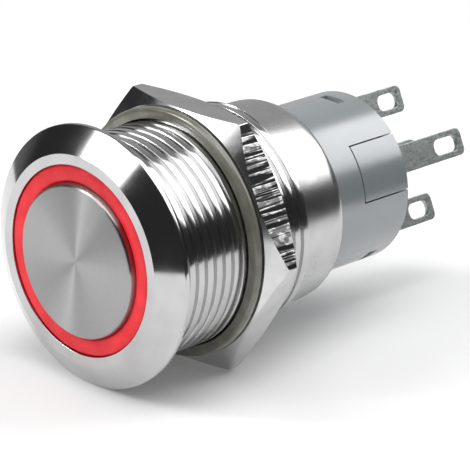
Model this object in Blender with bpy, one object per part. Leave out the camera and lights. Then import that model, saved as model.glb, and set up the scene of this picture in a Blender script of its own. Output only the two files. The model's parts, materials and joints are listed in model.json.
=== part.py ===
"""Illuminated stainless push button for a 19 mm panel hole, with changeover contacts.

The button's axis is Y. The front face looks towards -Y and the terminals point
to +Y. The origin is on the axis, in the plane of the bezel's back face, which is
the plane that seats on the panel. Z is up, and the nut lies with a flat on top.
Every size is in metres.

The pieces behind the panel share one clocking angle about Y. In their own frame
the contact row lies along X ("across") and the terminal blades stand on Z.
"""

import math

import bmesh
import bpy
from mathutils import Matrix, Vector

MM = 0.001

# Roundness of turned pieces.
FINE_STEPS = 48
COARSE_STEPS = 24
SMALL_STEPS = 16
SMOOTH_ANGLE = math.radians(32.0)
WELD = 1e-7

# Fits, as gaps on one side.
SEAT_GAP = 0.05 * MM
SLIDE_GAP = 0.12 * MM
THREAD_GAP = 0.12 * MM
SEAM_GAP = 0.12 * MM
PIN_GAP = 0.06 * MM

# Bezel and barrel.
BEZEL_RADIUS = 11.0 * MM
BEZEL_HEIGHT = 1.8 * MM
BEZEL_LIP_WIDTH = 0.9 * MM
BEZEL_RIM = 0.35 * MM
BEZEL_BACK_CHAMFER = 0.12 * MM
THREAD_RADIUS = 9.5 * MM
THREAD_DEPTH = 0.55 * MM
THREAD_PITCH = 1.0 * MM
THREAD_START = 1.3 * MM
THREAD_TURNS = 13
THREAD_RUN_OUT = 0.3
TAIL_RADIUS = 8.8 * MM
BARREL_LENGTH = 20.5 * MM
TAIL_ROUNDING = 1.1 * MM
BORE_RADIUS = 7.45 * MM
RING_SHELF = 0.8 * MM

# Light ring and button.
RING_OUTER_RADIUS = 7.93 * MM
RING_INNER_RADIUS = 6.55 * MM
RING_RECESS = 0.12 * MM
BUTTON_TRAVEL = 2.2 * MM
BUTTON_PROUD = 0.35 * MM
CAP_WALL = 0.6 * MM
CAP_SKIRT_END = 2.6 * MM
CAP_EDGE = 0.22 * MM
OVER_TRAVEL = 0.3 * MM
GUIDE_PAST_CAP = 0.5 * MM

# Plunger, its seal and its clip.
PLUNGER_HEAD_END = 2.4 * MM
STEM_RADIUS = 2.4 * MM
NOSE_RADIUS = 1.6 * MM
NOSE_LENGTH = 2.9 * MM
CLIP_LAND = 0.4 * MM
SEAL_SECTION = 0.48 * MM
SEAL_BITE = 0.1 * MM
SEAL_ROOM = 0.2 * MM
CLIP_THICKNESS = 0.45 * MM
CLIP_RADIUS = 3.6 * MM
CLIP_GROOVE_DEPTH = 0.4 * MM
CLIP_OPENING = math.radians(70.0)
SPRING_RADIUS = 3.35 * MM
SPRING_WIRE = 0.2 * MM
SPRING_TURNS = 4

# Lamp board.
BOARD_THICKNESS = 0.8 * MM
BOARD_INNER_RADIUS = 4.3 * MM
LED_COUNT = 6
LED_SIZE = (0.8 * MM, 0.6 * MM, 1.6 * MM)
LED_GAP = 0.25 * MM
LED_EDGE = 0.1 * MM
RESISTOR_SIZE = (0.8 * MM, 0.45 * MM, 1.6 * MM)
RESISTOR_CIRCLE = 5.3 * MM
RESISTOR_ANGLE = math.radians(26.0)
LEAD_RADIUS = 0.22 * MM

# Guide bush.
BUSH_LENGTH = 4.95 * MM
BUSH_FRONT_WALL = 1.15 * MM

# Nut and gasket.
NUT_ACROSS_FLATS = 21.5 * MM
NUT_THICKNESS = 3.2 * MM
NUT_FRONT = 8.73 * MM
NUT_CHAMFER_ANGLE = math.radians(30.0)
NUT_FACE_INSET = 0.1 * MM
NUT_BLANK_SPARE = 0.25 * MM
GASKET_RADIUS = 10.6 * MM
GASKET_THICKNESS = 0.8 * MM

# Grey housing and terminal base.
CLOCKING = math.radians(26.0)
HOUSING_WALL = 0.7 * MM
HOUSING_END = 29.5 * MM
CHAMBER_WALL = 1.0 * MM
SEAL_RING_SECTION = 0.2 * MM
SEAL_RING_INSET = 2.5 * MM
TAB_LENGTH = 5.4 * MM
TAB_HALF_ANGLE = math.radians(20.0)
BASE_LENGTH = 4.3 * MM
BASE_RECESS = 0.3 * MM
LATCH_ANGLES = (64.5, 104.0, 244.5, 284.0)
LATCH_HALF_ANGLE = math.radians(8.5)
LATCH_INSET = 2.5 * MM
LATCH_HEIGHT = 0.9 * MM

# Contacts and terminals.
BLADE_WIDTH = 2.4 * MM
BLADE_THICKNESS = 0.5 * MM
BLADE_REACH = 9.2 * MM
BLADE_CORNER = 0.5 * MM
BLADE_EYE_WIDTH = 1.2 * MM
BLADE_EYE_END = 0.6 * MM
BLADE_EYE_CORNER = 0.5 * MM
CONTACT_EYE_LENGTH = 2.3 * MM
LAMP_EYE_LENGTH = 1.7 * MM
CONTACT_ROW = 5.6 * MM
LAMP_ROW = 4.95 * MM
PIN_RADIUS = 0.3 * MM
ROCKER_REACH = 4.4 * MM
ROCKER_THICKNESS = 0.4 * MM
ROCKER_WIDTH = 2.2 * MM
ROCKER_BOSS = 0.75 * MM
ROCKER_TILT = math.radians(4.0)
RIVET_RADIUS = 0.6 * MM
RIVET_HEIGHT = 0.33 * MM
CONTACT_GAP = 0.4 * MM
FOOT_INSET = 0.1 * MM
EAR_THICKNESS = 0.5 * MM
EAR_HALF_WIDTH = 0.8 * MM
BRIDGE_ROOM = 0.6 * MM
LAMP_BLADE_ROOM = 0.34 * MM
CONTACT_SPRING_RADIUS = 0.8 * MM
CONTACT_SPRING_WIRE = 0.11 * MM
CONTACT_SPRING_ROOM = 4.4 * MM

# Places that follow from the sizes above.
FACE_PLANE = -BEZEL_HEIGHT
CAP_FRONT = FACE_PLANE - BUTTON_PROUD
CAP_RADIUS = RING_INNER_RADIUS - SLIDE_GAP
CAP_INNER_RADIUS = CAP_RADIUS - CAP_WALL
THREAD_ROOT = THREAD_RADIUS - THREAD_DEPTH
THREAD_END = THREAD_START + (THREAD_TURNS + 1) * THREAD_PITCH
RING_GUIDE_END = CAP_SKIRT_END + BUTTON_TRAVEL + GUIDE_PAST_CAP
BOARD_FRONT = RING_GUIDE_END + LED_GAP + LED_SIZE[1] + SEAT_GAP
BOARD_BACK = BOARD_FRONT + BOARD_THICKNESS
BUSH_FRONT = BOARD_BACK + SEAT_GAP
BUSH_BACK = BUSH_FRONT + BUSH_LENGTH
CLIP_FRONT = BUSH_BACK + SEAT_GAP
CLIP_BACK = CLIP_FRONT + CLIP_THICKNESS
STEM_END = CLIP_BACK + CLIP_LAND
NOSE_END = STEM_END + NOSE_LENGTH
SEAL_PLACE = BUSH_FRONT + BUSH_FRONT_WALL + SEAL_SECTION + SEAL_ROOM
SEAL_RADIUS = STEM_RADIUS + SEAL_BITE
HOUSING_RADIUS = BORE_RADIUS - SEAT_GAP
HOUSING_FRONT = BUSH_BACK + SEAT_GAP
CHAMBER_FRONT = STEM_END + BUTTON_TRAVEL + OVER_TRAVEL
HOUSING_INNER_RADIUS = HOUSING_RADIUS - HOUSING_WALL
LED_CIRCLE = HOUSING_RADIUS - SEAT_GAP - LED_EDGE - LED_SIZE[0] / 2
SEAL_RING_PLACE = BARREL_LENGTH - SEAL_RING_INSET
TAB_FRONT = HOUSING_END - TAB_LENGTH
BASE_FRONT = HOUSING_END - BASE_LENGTH
LATCH_FRONT = HOUSING_END - LATCH_INSET
BLADE_TIP = HOUSING_END + BLADE_REACH
NUT_BACK = NUT_FRONT + NUT_THICKNESS
GASKET_BACK = NUT_FRONT - SEAT_GAP
BASE_BACK = HOUSING_END - BASE_RECESS
PIVOT_PLACE = NOSE_END + CONTACT_SPRING_ROOM
RIVET_BACK = PIVOT_PLACE + ROCKER_THICKNESS / 2 + SEAT_GAP + RIVET_HEIGHT
FIXED_FRONT = RIVET_BACK + CONTACT_GAP
FOOT_FRONT = FIXED_FRONT + RIVET_HEIGHT + SEAT_GAP
BRIDGE_FRONT = FOOT_FRONT + BRIDGE_ROOM
LAMP_BLADE_FRONT = BRIDGE_FRONT + BLADE_THICKNESS + LAMP_BLADE_ROOM

STEEL = ("stainless_steel", (0.62, 0.61, 0.59), 1.0, 0.22)
SPUN_STEEL = ("spun_steel", (0.56, 0.56, 0.55), 1.0, 0.38)
RED_LENS = ("red_lens", (0.85, 0.05, 0.07), 0.0, 0.3)
GREY_PLASTIC = ("grey_plastic", (0.33, 0.36, 0.37), 0.0, 0.5)
WHITE_PLASTIC = ("white_plastic", (0.75, 0.75, 0.72), 0.0, 0.45)
BLACK_RUBBER = ("black_rubber", (0.03, 0.03, 0.03), 0.0, 0.7)
OLIVE_RUBBER = ("olive_rubber", (0.3, 0.29, 0.24), 0.0, 0.4)
TINNED_BRASS = ("tinned_brass", (0.5, 0.52, 0.5), 1.0, 0.45)
CONTACT_SILVER = ("contact_silver", (0.8, 0.8, 0.78), 1.0, 0.3)
SPRING_STEEL = ("spring_steel", (0.45, 0.45, 0.46), 1.0, 0.3)
BOARD_GREEN = ("board_green", (0.03, 0.2, 0.08), 0.0, 0.5)
LAMP_BODY = ("lamp_body", (0.9, 0.85, 0.7), 0.0, 0.4)


def clear_scene():
    """Remove whatever objects the scene starts with."""
    for obj in list(bpy.data.objects):
        bpy.data.objects.remove(obj, do_unlink=True)


def finish_material(finish):
    """Return the Principled material for a finish, made once."""
    name, color, metallic, roughness = finish
    mat = bpy.data.materials.get(name)
    if mat is None:
        mat = bpy.data.materials.new(name)
        mat.use_nodes = True
        shader = mat.node_tree.nodes["Principled BSDF"]
        shader.inputs["Base Color"].default_value = (*color, 1.0)
        shader.inputs["Metallic"].default_value = metallic
        shader.inputs["Roughness"].default_value = roughness
    return mat


def add_object(name, bm, finish, parent=None):
    """Turn a bmesh into a named, shaded object with its faces pointing out."""
    bmesh.ops.recalc_face_normals(bm, faces=bm.faces)
    mesh = bpy.data.meshes.new(name)
    bm.to_mesh(mesh)
    bm.free()
    mesh.shade_smooth()
    mesh.set_sharp_from_angle(angle=SMOOTH_ANGLE)
    obj = bpy.data.objects.new(name, mesh)
    bpy.context.scene.collection.objects.link(obj)
    obj.data.materials.append(finish_material(finish))
    obj.parent = parent
    return obj


def add_empty(name, location=(0.0, 0.0, 0.0), rotation_y=0.0, parent=None):
    """Add an empty that carries pieces, such as a joint axis."""
    empty = bpy.data.objects.new(name, None)
    bpy.context.scene.collection.objects.link(empty)
    empty.empty_display_size = 2 * MM
    empty.location = location
    empty.rotation_euler = (0.0, rotation_y, 0.0)
    empty.parent = parent
    return empty


def boolean(target, tool, operation="DIFFERENCE"):
    """Cut, join or intersect a piece with a helper solid, which is left out of the build."""
    tool.hide_render = True
    tool.display_type = "WIRE"
    modifier = target.modifiers.new(tool.name, "BOOLEAN")
    modifier.object = tool
    modifier.operation = operation
    modifier.solver = "EXACT"


def spin_profile(bm, points, closed, steps):
    """Spin a profile of (radius, y) points a full turn about the Y axis."""
    verts = [bm.verts.new((radius, y, 0.0)) for radius, y in points]
    edges = [bm.edges.new(pair) for pair in zip(verts, verts[1:])]
    if closed:
        edges.append(bm.edges.new((verts[-1], verts[0])))
    bmesh.ops.spin(bm, geom=verts + edges, cent=(0, 0, 0), axis=(0, 1, 0),
                   angle=math.tau, steps=steps, use_merge=True)
    bmesh.ops.remove_doubles(bm, verts=bm.verts, dist=WELD)


def turned(name, points, finish, steps=COARSE_STEPS, closed=True, parent=None):
    """Make a turned piece; a profile that starts and ends on the axis isn't closed."""
    bm = bmesh.new()
    spin_profile(bm, points, closed, steps)
    return add_object(name, bm, finish, parent)


def arc(radius_centre, y_centre, size, start, end, steps):
    """Return (radius, y) points on an arc, with angles from the radial direction."""
    points = []
    for step in range(steps + 1):
        angle = start + (end - start) * step / steps
        points.append((radius_centre + size * math.cos(angle), y_centre + size * math.sin(angle)))
    return points


def thread_wall(bm, root, crest, y_start, turns, steps):
    """Add a helical V thread between two flat rings of the root radius.

    The first and last part of a turn run out to the root radius, so both ends
    close on plain circles at y_start and y_start + (turns + 1) pitches.
    """
    def point(radius, station, y):
        angle = math.tau * (station % steps) / steps
        return bm.verts.new((radius * math.cos(angle), y, -radius * math.sin(angle)))

    last = turns * steps
    run_out = THREAD_RUN_OUT * steps
    roots, crests = [], []
    for station in range(last + steps + 1):
        roots.append(point(root, station, y_start + THREAD_PITCH * station / steps))
    for station in range(last + 1):
        y = y_start + THREAD_PITCH * (station / steps + 0.5)
        share = min(1.0, station / run_out, (last - station) / run_out)
        crests.append(point(root + (crest - root) * share, station, y))
    for station in range(last):
        after = station + 1
        bm.faces.new((roots[station], roots[after], crests[after], crests[station]))
        bm.faces.new((crests[station], crests[after], roots[after + steps], roots[station + steps]))
    end = y_start + THREAD_PITCH * (turns + 1)
    front = [roots[0]] + [point(root, station, y_start) for station in range(1, steps)]
    back = [roots[-1]] + [point(root, station, end) for station in range(1, steps)]
    final = steps - 1
    bm.faces.new((front[0], front[1], roots[1]))
    bm.faces.new((front[final], front[0], crests[0], roots[steps], roots[final]))
    bm.faces.new((roots[last], roots[last + 1], back[1], back[0], crests[last]))
    bm.faces.new((roots[last + final], back[0], back[final]))
    for station in range(1, final):
        after = station + 1
        bm.faces.new((front[station], front[after], roots[after], roots[station]))
        bm.faces.new((roots[last + station], roots[last + after], back[after], back[station]))
    bmesh.ops.remove_doubles(bm, verts=bm.verts, dist=WELD)


def prism(name, outline, low, high, finish, parent=None):
    """Extrude an outline of (x, z) points along Y from low to high."""
    bm = bmesh.new()
    face = bm.faces.new([bm.verts.new((x, low, z)) for x, z in outline])
    grown = bmesh.ops.extrude_face_region(bm, geom=[face])
    verts = [item for item in grown["geom"] if isinstance(item, bmesh.types.BMVert)]
    bmesh.ops.translate(bm, verts=verts, vec=(0.0, high - low, 0.0))
    return add_object(name, bm, finish, parent)


def block(name, x_span, y_span, z_span, finish, parent=None):
    """Make a rectangular block from its three spans."""
    outline = [(x_span[0], z_span[0]), (x_span[1], z_span[0]),
               (x_span[1], z_span[1]), (x_span[0], z_span[1])]
    return prism(name, outline, y_span[0], y_span[1], finish, parent)


def sector(name, radii, middle, half_angle, span, finish, parent=None):
    """Make a ring sector about Y, centred on an angle from X towards Z."""
    steps = max(4, round(half_angle / math.radians(3.75)))
    angles = [middle - half_angle + 2 * half_angle * step / steps for step in range(steps + 1)]
    inner = [(radii[0] * math.cos(angle), radii[0] * math.sin(angle)) for angle in angles]
    outer = [(radii[1] * math.cos(angle), radii[1] * math.sin(angle)) for angle in reversed(angles)]
    return prism(name, inner + outer, span[0], span[1], finish, parent)


def rounded_outline(centre, size, radius, corners=4):
    """Return the points of a rounded rectangle about a centre in a plane."""
    points = []
    for quarter, (sx, sz) in enumerate(((1, 1), (-1, 1), (-1, -1), (1, -1))):
        middle_x = centre[0] + sx * (size[0] / 2 - radius)
        middle_z = centre[1] + sz * (size[1] / 2 - radius)
        for step in range(corners + 1):
            angle = math.pi / 2 * (quarter + step / corners)
            points.append((middle_x + radius * math.cos(angle), middle_z + radius * math.sin(angle)))
    return points


def upright_plate(name, outline, x_span, finish, parent=None):
    """Extrude an outline of (y, z) points along X."""
    bm = bmesh.new()
    face = bm.faces.new([bm.verts.new((x_span[0], y, z)) for y, z in outline])
    grown = bmesh.ops.extrude_face_region(bm, geom=[face])
    verts = [item for item in grown["geom"] if isinstance(item, bmesh.types.BMVert)]
    bmesh.ops.translate(bm, verts=verts, vec=(x_span[1] - x_span[0], 0.0, 0.0))
    return add_object(name, bm, finish, parent)


def rod(name, radius, span, finish, direction="Y", centre=(0.0, 0.0), parent=None):
    """Make a round rod along Y through (x, z), or along Z through (x, y)."""
    bm = bmesh.new()
    bmesh.ops.create_cone(bm, cap_ends=True, segments=SMALL_STEPS, radius1=radius, radius2=radius,
                          depth=span[1] - span[0])
    middle = (span[0] + span[1]) / 2
    if direction == "Y":
        turn = Matrix.Rotation(math.radians(-90.0), 4, "X")
        place = Vector((centre[0], middle, centre[1]))
    else:
        turn = Matrix.Identity(4)
        place = Vector((centre[0], centre[1], middle))
    bmesh.ops.transform(bm, matrix=Matrix.Translation(place) @ turn, verts=bm.verts)
    return add_object(name, bm, finish, parent)


def coil(name, radius, wire, span, turns, finish, parent=None):
    """Make a closed coil spring about Y between two planes."""
    sides, stations = 6, SMALL_STEPS * turns
    low, high = span[0] + wire, span[1] - wire
    bm = bmesh.new()
    rings = []
    for station in range(stations + 1):
        angle = math.tau * station / SMALL_STEPS
        y = low + (high - low) * station / stations
        ring = []
        for side in range(sides):
            swing = math.tau * side / sides
            reach = radius + wire * math.cos(swing)
            ring.append(bm.verts.new((reach * math.cos(angle), y + wire * math.sin(swing),
                                      -reach * math.sin(angle))))
        rings.append(ring)
    for ring, following in zip(rings, rings[1:]):
        for side in range(sides):
            after = (side + 1) % sides
            bm.faces.new((ring[side], ring[after], following[after], following[side]))
    bm.faces.new(rings[0])
    bm.faces.new(rings[-1])
    return add_object(name, bm, finish, parent)


def build_barrel():
    """Bezel, threaded barrel and plain tail, turned from one bar."""
    lip_inner = RING_OUTER_RADIUS + SEAT_GAP
    outline = [(THREAD_ROOT, THREAD_END), (TAIL_RADIUS, THREAD_END)]
    outline += arc(TAIL_RADIUS - TAIL_ROUNDING, BARREL_LENGTH - TAIL_ROUNDING, TAIL_ROUNDING,
                   0.0, math.pi / 2, 4)
    outline += [
        (BORE_RADIUS, BARREL_LENGTH),
        (BORE_RADIUS, RING_SHELF),
        (lip_inner, RING_SHELF),
        (lip_inner, FACE_PLANE),
        (lip_inner + BEZEL_LIP_WIDTH, FACE_PLANE),
        (BEZEL_RADIUS, -BEZEL_RIM - BEZEL_BACK_CHAMFER),
        (BEZEL_RADIUS, -BEZEL_BACK_CHAMFER),
        (BEZEL_RADIUS - BEZEL_BACK_CHAMFER, 0.0),
        (THREAD_ROOT, 0.0),
        (THREAD_ROOT, THREAD_START),
    ]
    bm = bmesh.new()
    spin_profile(bm, outline, False, FINE_STEPS)
    thread_wall(bm, THREAD_ROOT, THREAD_RADIUS, THREAD_START, THREAD_TURNS, FINE_STEPS)
    return add_object("barrel_body", bm, STEEL)


def build_nut(parent):
    """Thin hexagon nut with a chamfer on both faces and a running thread."""
    root = THREAD_RADIUS + THREAD_GAP
    crest = THREAD_ROOT + THREAD_GAP
    offset = math.ceil((NUT_FRONT + SEAT_GAP - THREAD_START) / THREAD_PITCH - 0.5) + 0.5
    start = THREAD_START + offset * THREAD_PITCH
    turns = math.floor((NUT_BACK - SEAT_GAP - start) / THREAD_PITCH) - 1
    end = start + (turns + 1) * THREAD_PITCH
    corner = NUT_ACROSS_FLATS / math.sqrt(3.0)
    reach = corner + NUT_BLANK_SPARE
    face_radius = NUT_ACROSS_FLATS / 2 - NUT_FACE_INSET
    drop = (reach - face_radius) * math.tan(NUT_CHAMFER_ANGLE)
    outline = [
        (root, end),
        (root, NUT_BACK),
        (face_radius, NUT_BACK),
        (reach, NUT_BACK - drop),
        (reach, NUT_FRONT + drop),
        (face_radius, NUT_FRONT),
        (root, NUT_FRONT),
        (root, start),
    ]
    bm = bmesh.new()
    spin_profile(bm, outline, False, FINE_STEPS)
    thread_wall(bm, root, crest, start, turns, FINE_STEPS)
    nut = add_object("hex_nut", bm, STEEL, parent)
    corners = [(corner * math.cos(math.radians(60 * k)), corner * math.sin(math.radians(60 * k)))
               for k in range(6)]
    bar = prism("nut_hexagon_bar", corners, NUT_FRONT - MM, NUT_BACK + MM, STEEL, parent)
    boolean(nut, bar, "INTERSECT")
    return nut


def build_gasket(parent):
    """Flat rubber gasket with a rounded rim, in front of the nut."""
    half = GASKET_THICKNESS / 2
    middle = GASKET_BACK - half
    inner = THREAD_RADIUS + SLIDE_GAP
    rim = arc(GASKET_RADIUS - half, middle, half, -math.pi / 2, math.pi / 2, 6)
    outline = [(inner, GASKET_BACK - GASKET_THICKNESS)] + rim + [(inner, GASKET_BACK)]
    return turned("panel_gasket", outline, OLIVE_RUBBER, FINE_STEPS, parent=parent)


def build_light_ring():
    """Red lens ring with the light guide that runs back to the lamps."""
    flange_end = RING_SHELF - SEAT_GAP
    guide_radius = BORE_RADIUS - SEAT_GAP
    outline = [
        (RING_INNER_RADIUS, FACE_PLANE + RING_RECESS),
        (RING_OUTER_RADIUS, FACE_PLANE + RING_RECESS),
        (RING_OUTER_RADIUS, flange_end),
        (guide_radius, flange_end),
        (guide_radius, RING_GUIDE_END),
        (RING_INNER_RADIUS, RING_GUIDE_END),
    ]
    return turned("light_ring", outline, RED_LENS, FINE_STEPS)


def build_cap(parent):
    """Steel button cap: a spun cup with a small chamfer at its edge."""
    outline = [
        (0.0, CAP_FRONT),
        (CAP_RADIUS - CAP_EDGE, CAP_FRONT),
        (CAP_RADIUS, CAP_FRONT + CAP_EDGE),
        (CAP_RADIUS, CAP_SKIRT_END),
        (CAP_INNER_RADIUS, CAP_SKIRT_END),
        (CAP_INNER_RADIUS, CAP_FRONT + CAP_WALL),
        (0.0, CAP_FRONT + CAP_WALL),
    ]
    return turned("button_cap", outline, SPUN_STEEL, FINE_STEPS, False, parent)


def build_plunger(parent):
    """Plastic plunger: head in the cap, stem with a seal groove and clip groove, and nose."""
    head = CAP_INNER_RADIUS - SEAT_GAP
    seal_floor = SEAL_RADIUS - SEAL_SECTION - SEAT_GAP
    clip_floor = STEM_RADIUS - CLIP_GROOVE_DEPTH
    outline = [
        (0.0, CAP_FRONT + CAP_WALL + SEAT_GAP),
        (head, CAP_FRONT + CAP_WALL + SEAT_GAP),
        (head, PLUNGER_HEAD_END),
        (STEM_RADIUS, PLUNGER_HEAD_END),
        (STEM_RADIUS, SEAL_PLACE - SEAL_SECTION - SEAT_GAP),
        (seal_floor, SEAL_PLACE - SEAL_SECTION - SEAT_GAP),
        (seal_floor, SEAL_PLACE + SEAL_SECTION + SEAT_GAP),
        (STEM_RADIUS, SEAL_PLACE + SEAL_SECTION + SEAT_GAP),
        (STEM_RADIUS, CLIP_FRONT - SEAT_GAP),
        (clip_floor, CLIP_FRONT - SEAT_GAP),
        (clip_floor, CLIP_BACK + SEAT_GAP),
        (STEM_RADIUS, CLIP_BACK + SEAT_GAP),
        (STEM_RADIUS, STEM_END),
        (NOSE_RADIUS, STEM_END),
        (NOSE_RADIUS, NOSE_END),
        (0.0, NOSE_END),
    ]
    return turned("button_plunger", outline, WHITE_PLASTIC, COARSE_STEPS, False, parent)


def build_ring_seal(name, radius, section, place, finish, parent=None):
    """Make an O-ring about Y from its middle radius and section."""
    outline = arc(radius, place, section, 0.0, math.tau, 8)[:-1]
    return turned(name, outline, finish, COARSE_STEPS, True, parent)


def build_clip(parent):
    """Open retaining clip that stops the plunger at the bush."""
    inner = STEM_RADIUS - CLIP_GROOVE_DEPTH + SEAT_GAP
    half_angle = math.pi - CLIP_OPENING / 2
    return sector("retaining_clip", (inner, CLIP_RADIUS), -math.pi / 2, half_angle,
                  (CLIP_FRONT, CLIP_BACK), SPRING_STEEL, parent)


def build_return_spring():
    """Coil spring between the plunger's head and the bush."""
    span = (PLUNGER_HEAD_END + SLIDE_GAP, BUSH_FRONT - SLIDE_GAP)
    return coil("return_spring", SPRING_RADIUS, SPRING_WIRE, span, SPRING_TURNS, SPRING_STEEL)


def build_bush(frame):
    """Guide bush with the stem's bearing in front and the seal's bore behind."""
    seal_bore = SEAL_RADIUS + SEAL_SECTION + SLIDE_GAP
    bearing = STEM_RADIUS + PIN_GAP
    wall_back = BUSH_FRONT + BUSH_FRONT_WALL
    outline = [
        (bearing, BUSH_FRONT),
        (HOUSING_RADIUS, BUSH_FRONT),
        (HOUSING_RADIUS, BUSH_BACK),
        (seal_bore, BUSH_BACK),
        (seal_bore, wall_back),
        (bearing, wall_back),
    ]
    bush = turned("guide_bush", outline, WHITE_PLASTIC)
    for side in (1, -1):
        span = (BUSH_FRONT - MM, BUSH_BACK + MM)
        hole = rod("bush_lead_hole", LEAD_RADIUS + SLIDE_GAP, span, WHITE_PLASTIC,
                   centre=(0.0, side * LAMP_ROW), parent=frame)
        boolean(bush, hole)
    return bush


def build_lamp_board():
    """Ring-shaped board with its lamps and resistor in front."""
    outer = HOUSING_RADIUS - SEAT_GAP
    outline = [
        (BOARD_INNER_RADIUS, BOARD_FRONT),
        (outer, BOARD_FRONT),
        (outer, BOARD_BACK),
        (BOARD_INNER_RADIUS, BOARD_BACK),
    ]
    turned("led_board", outline, BOARD_GREEN)
    for number in range(LED_COUNT):
        angle = math.tau * (number + 0.5) / LED_COUNT
        build_board_piece("led_%d" % (number + 1), LED_SIZE, LED_CIRCLE, angle, LAMP_BODY)
    build_board_piece("led_resistor", RESISTOR_SIZE, RESISTOR_CIRCLE, RESISTOR_ANGLE, BLACK_RUBBER)


def build_board_piece(name, size, circle, angle, finish):
    """Place a small block on the board's front, at an angle from X towards Z."""
    radial, deep, wide = size
    seat = BOARD_FRONT - SEAT_GAP
    piece = block(name, (circle - radial / 2, circle + radial / 2), (seat - deep, seat),
                  (-wide / 2, wide / 2), finish)
    piece.rotation_euler = (0.0, -angle, 0.0)
    return piece


def build_housing(frame):
    """Grey housing: chamber wall inside the barrel, notches and latch windows behind."""
    nose_hole = NOSE_RADIUS + SLIDE_GAP
    groove = HOUSING_RADIUS - 2 * SEAL_RING_SECTION
    groove_half = SEAL_RING_SECTION + SEAT_GAP
    outline = [
        (HOUSING_INNER_RADIUS, HOUSING_FRONT),
        (HOUSING_RADIUS, HOUSING_FRONT),
        (HOUSING_RADIUS, SEAL_RING_PLACE - groove_half),
        (groove, SEAL_RING_PLACE - groove_half),
        (groove, SEAL_RING_PLACE + groove_half),
        (HOUSING_RADIUS, SEAL_RING_PLACE + groove_half),
        (HOUSING_RADIUS, HOUSING_END),
        (HOUSING_INNER_RADIUS, HOUSING_END),
        (HOUSING_INNER_RADIUS, CHAMBER_FRONT + CHAMBER_WALL),
        (nose_hole, CHAMBER_FRONT + CHAMBER_WALL),
        (nose_hole, CHAMBER_FRONT),
        (HOUSING_INNER_RADIUS, CHAMBER_FRONT),
    ]
    housing = turned("contact_housing", outline, GREY_PLASTIC, FINE_STEPS)
    cut_radii = (HOUSING_INNER_RADIUS - MM, HOUSING_RADIUS + MM)
    for middle in (0.0, math.pi):
        notch = sector("housing_notch", cut_radii, middle, TAB_HALF_ANGLE,
                       (TAB_FRONT, HOUSING_END + MM), GREY_PLASTIC, frame)
        boolean(housing, notch)
    for degrees in LATCH_ANGLES:
        window = sector("latch_window", cut_radii, math.radians(degrees), LATCH_HALF_ANGLE,
                        (LATCH_FRONT, LATCH_FRONT + LATCH_HEIGHT), GREY_PLASTIC, frame)
        boolean(housing, window)
    for side in (1, -1):
        span = (CHAMBER_FRONT - MM, CHAMBER_FRONT + CHAMBER_WALL + MM)
        hole = rod("housing_lead_hole", LEAD_RADIUS + SLIDE_GAP, span, GREY_PLASTIC,
                   centre=(0.0, side * LAMP_ROW), parent=frame)
        boolean(housing, hole)
    return housing


def blade_places():
    """Return (x, z) of each terminal blade's middle, by node name."""
    return {
        "terminal_normally_open": (-CONTACT_ROW, 0.0),
        "terminal_common": (0.0, 0.0),
        "terminal_normally_closed": (CONTACT_ROW, 0.0),
        "terminal_lamp_plus": (0.0, LAMP_ROW),
        "terminal_lamp_minus": (0.0, -LAMP_ROW),
    }


def build_base(frame):
    """Grey terminal base: a disc with two flush tabs, latch nubs and blade slots."""
    disc = HOUSING_INNER_RADIUS - SEAM_GAP
    outline = [(0.0, BASE_FRONT), (disc, BASE_FRONT), (disc, BASE_BACK), (0.0, BASE_BACK)]
    base = turned("terminal_base", outline, GREY_PLASTIC, FINE_STEPS, False, frame)
    seam_angle = SEAM_GAP / HOUSING_RADIUS
    for middle in (0.0, math.pi):
        tab = sector("base_tab", (disc - MM, HOUSING_RADIUS), middle, TAB_HALF_ANGLE - seam_angle,
                     (TAB_FRONT + SEAM_GAP, HOUSING_END), GREY_PLASTIC, frame)
        boolean(base, tab, "UNION")
    for degrees in LATCH_ANGLES:
        nub = sector("base_nub", (disc - MM, HOUSING_RADIUS - HOUSING_WALL / 2), math.radians(degrees),
                     LATCH_HALF_ANGLE - 2 * seam_angle,
                     (LATCH_FRONT + SEAM_GAP, LATCH_FRONT + LATCH_HEIGHT - SEAM_GAP), GREY_PLASTIC, frame)
        boolean(base, nub, "UNION")
    half_thick = BLADE_THICKNESS / 2 + SEAT_GAP
    half_wide = BLADE_WIDTH / 2 + SEAT_GAP
    for x, z in blade_places().values():
        slot = block("blade_slot", (x - half_thick, x + half_thick), (TAB_FRONT - MM, HOUSING_END + MM),
                     (z - half_wide, z + half_wide), GREY_PLASTIC, frame)
        boolean(base, slot)
    return base


def build_blade(name, front, eye_length, frame):
    """Flat terminal blade with rounded tip corners and a solder eye."""
    x, z = blade_places()[name]
    half = BLADE_WIDTH / 2
    tip = rounded_outline((BLADE_TIP - MM, z), (2 * MM, BLADE_WIDTH), BLADE_CORNER)
    outline = [(y, height) for y, height in tip if y > BLADE_TIP - MM]
    outline = sorted(outline, key=lambda point: -point[1]) + [(front, z - half), (front, z + half)]
    span = (x - BLADE_THICKNESS / 2, x + BLADE_THICKNESS / 2)
    blade = upright_plate(name, outline, span, TINNED_BRASS, frame)
    eye_middle = BLADE_TIP - BLADE_EYE_END - eye_length / 2
    eye = rounded_outline((eye_middle, z), (eye_length, BLADE_EYE_WIDTH), BLADE_EYE_CORNER)
    cutter = upright_plate(name + "_eye", eye, (span[0] - MM, span[1] + MM), TINNED_BRASS, frame)
    boolean(blade, cutter)
    return blade


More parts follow.
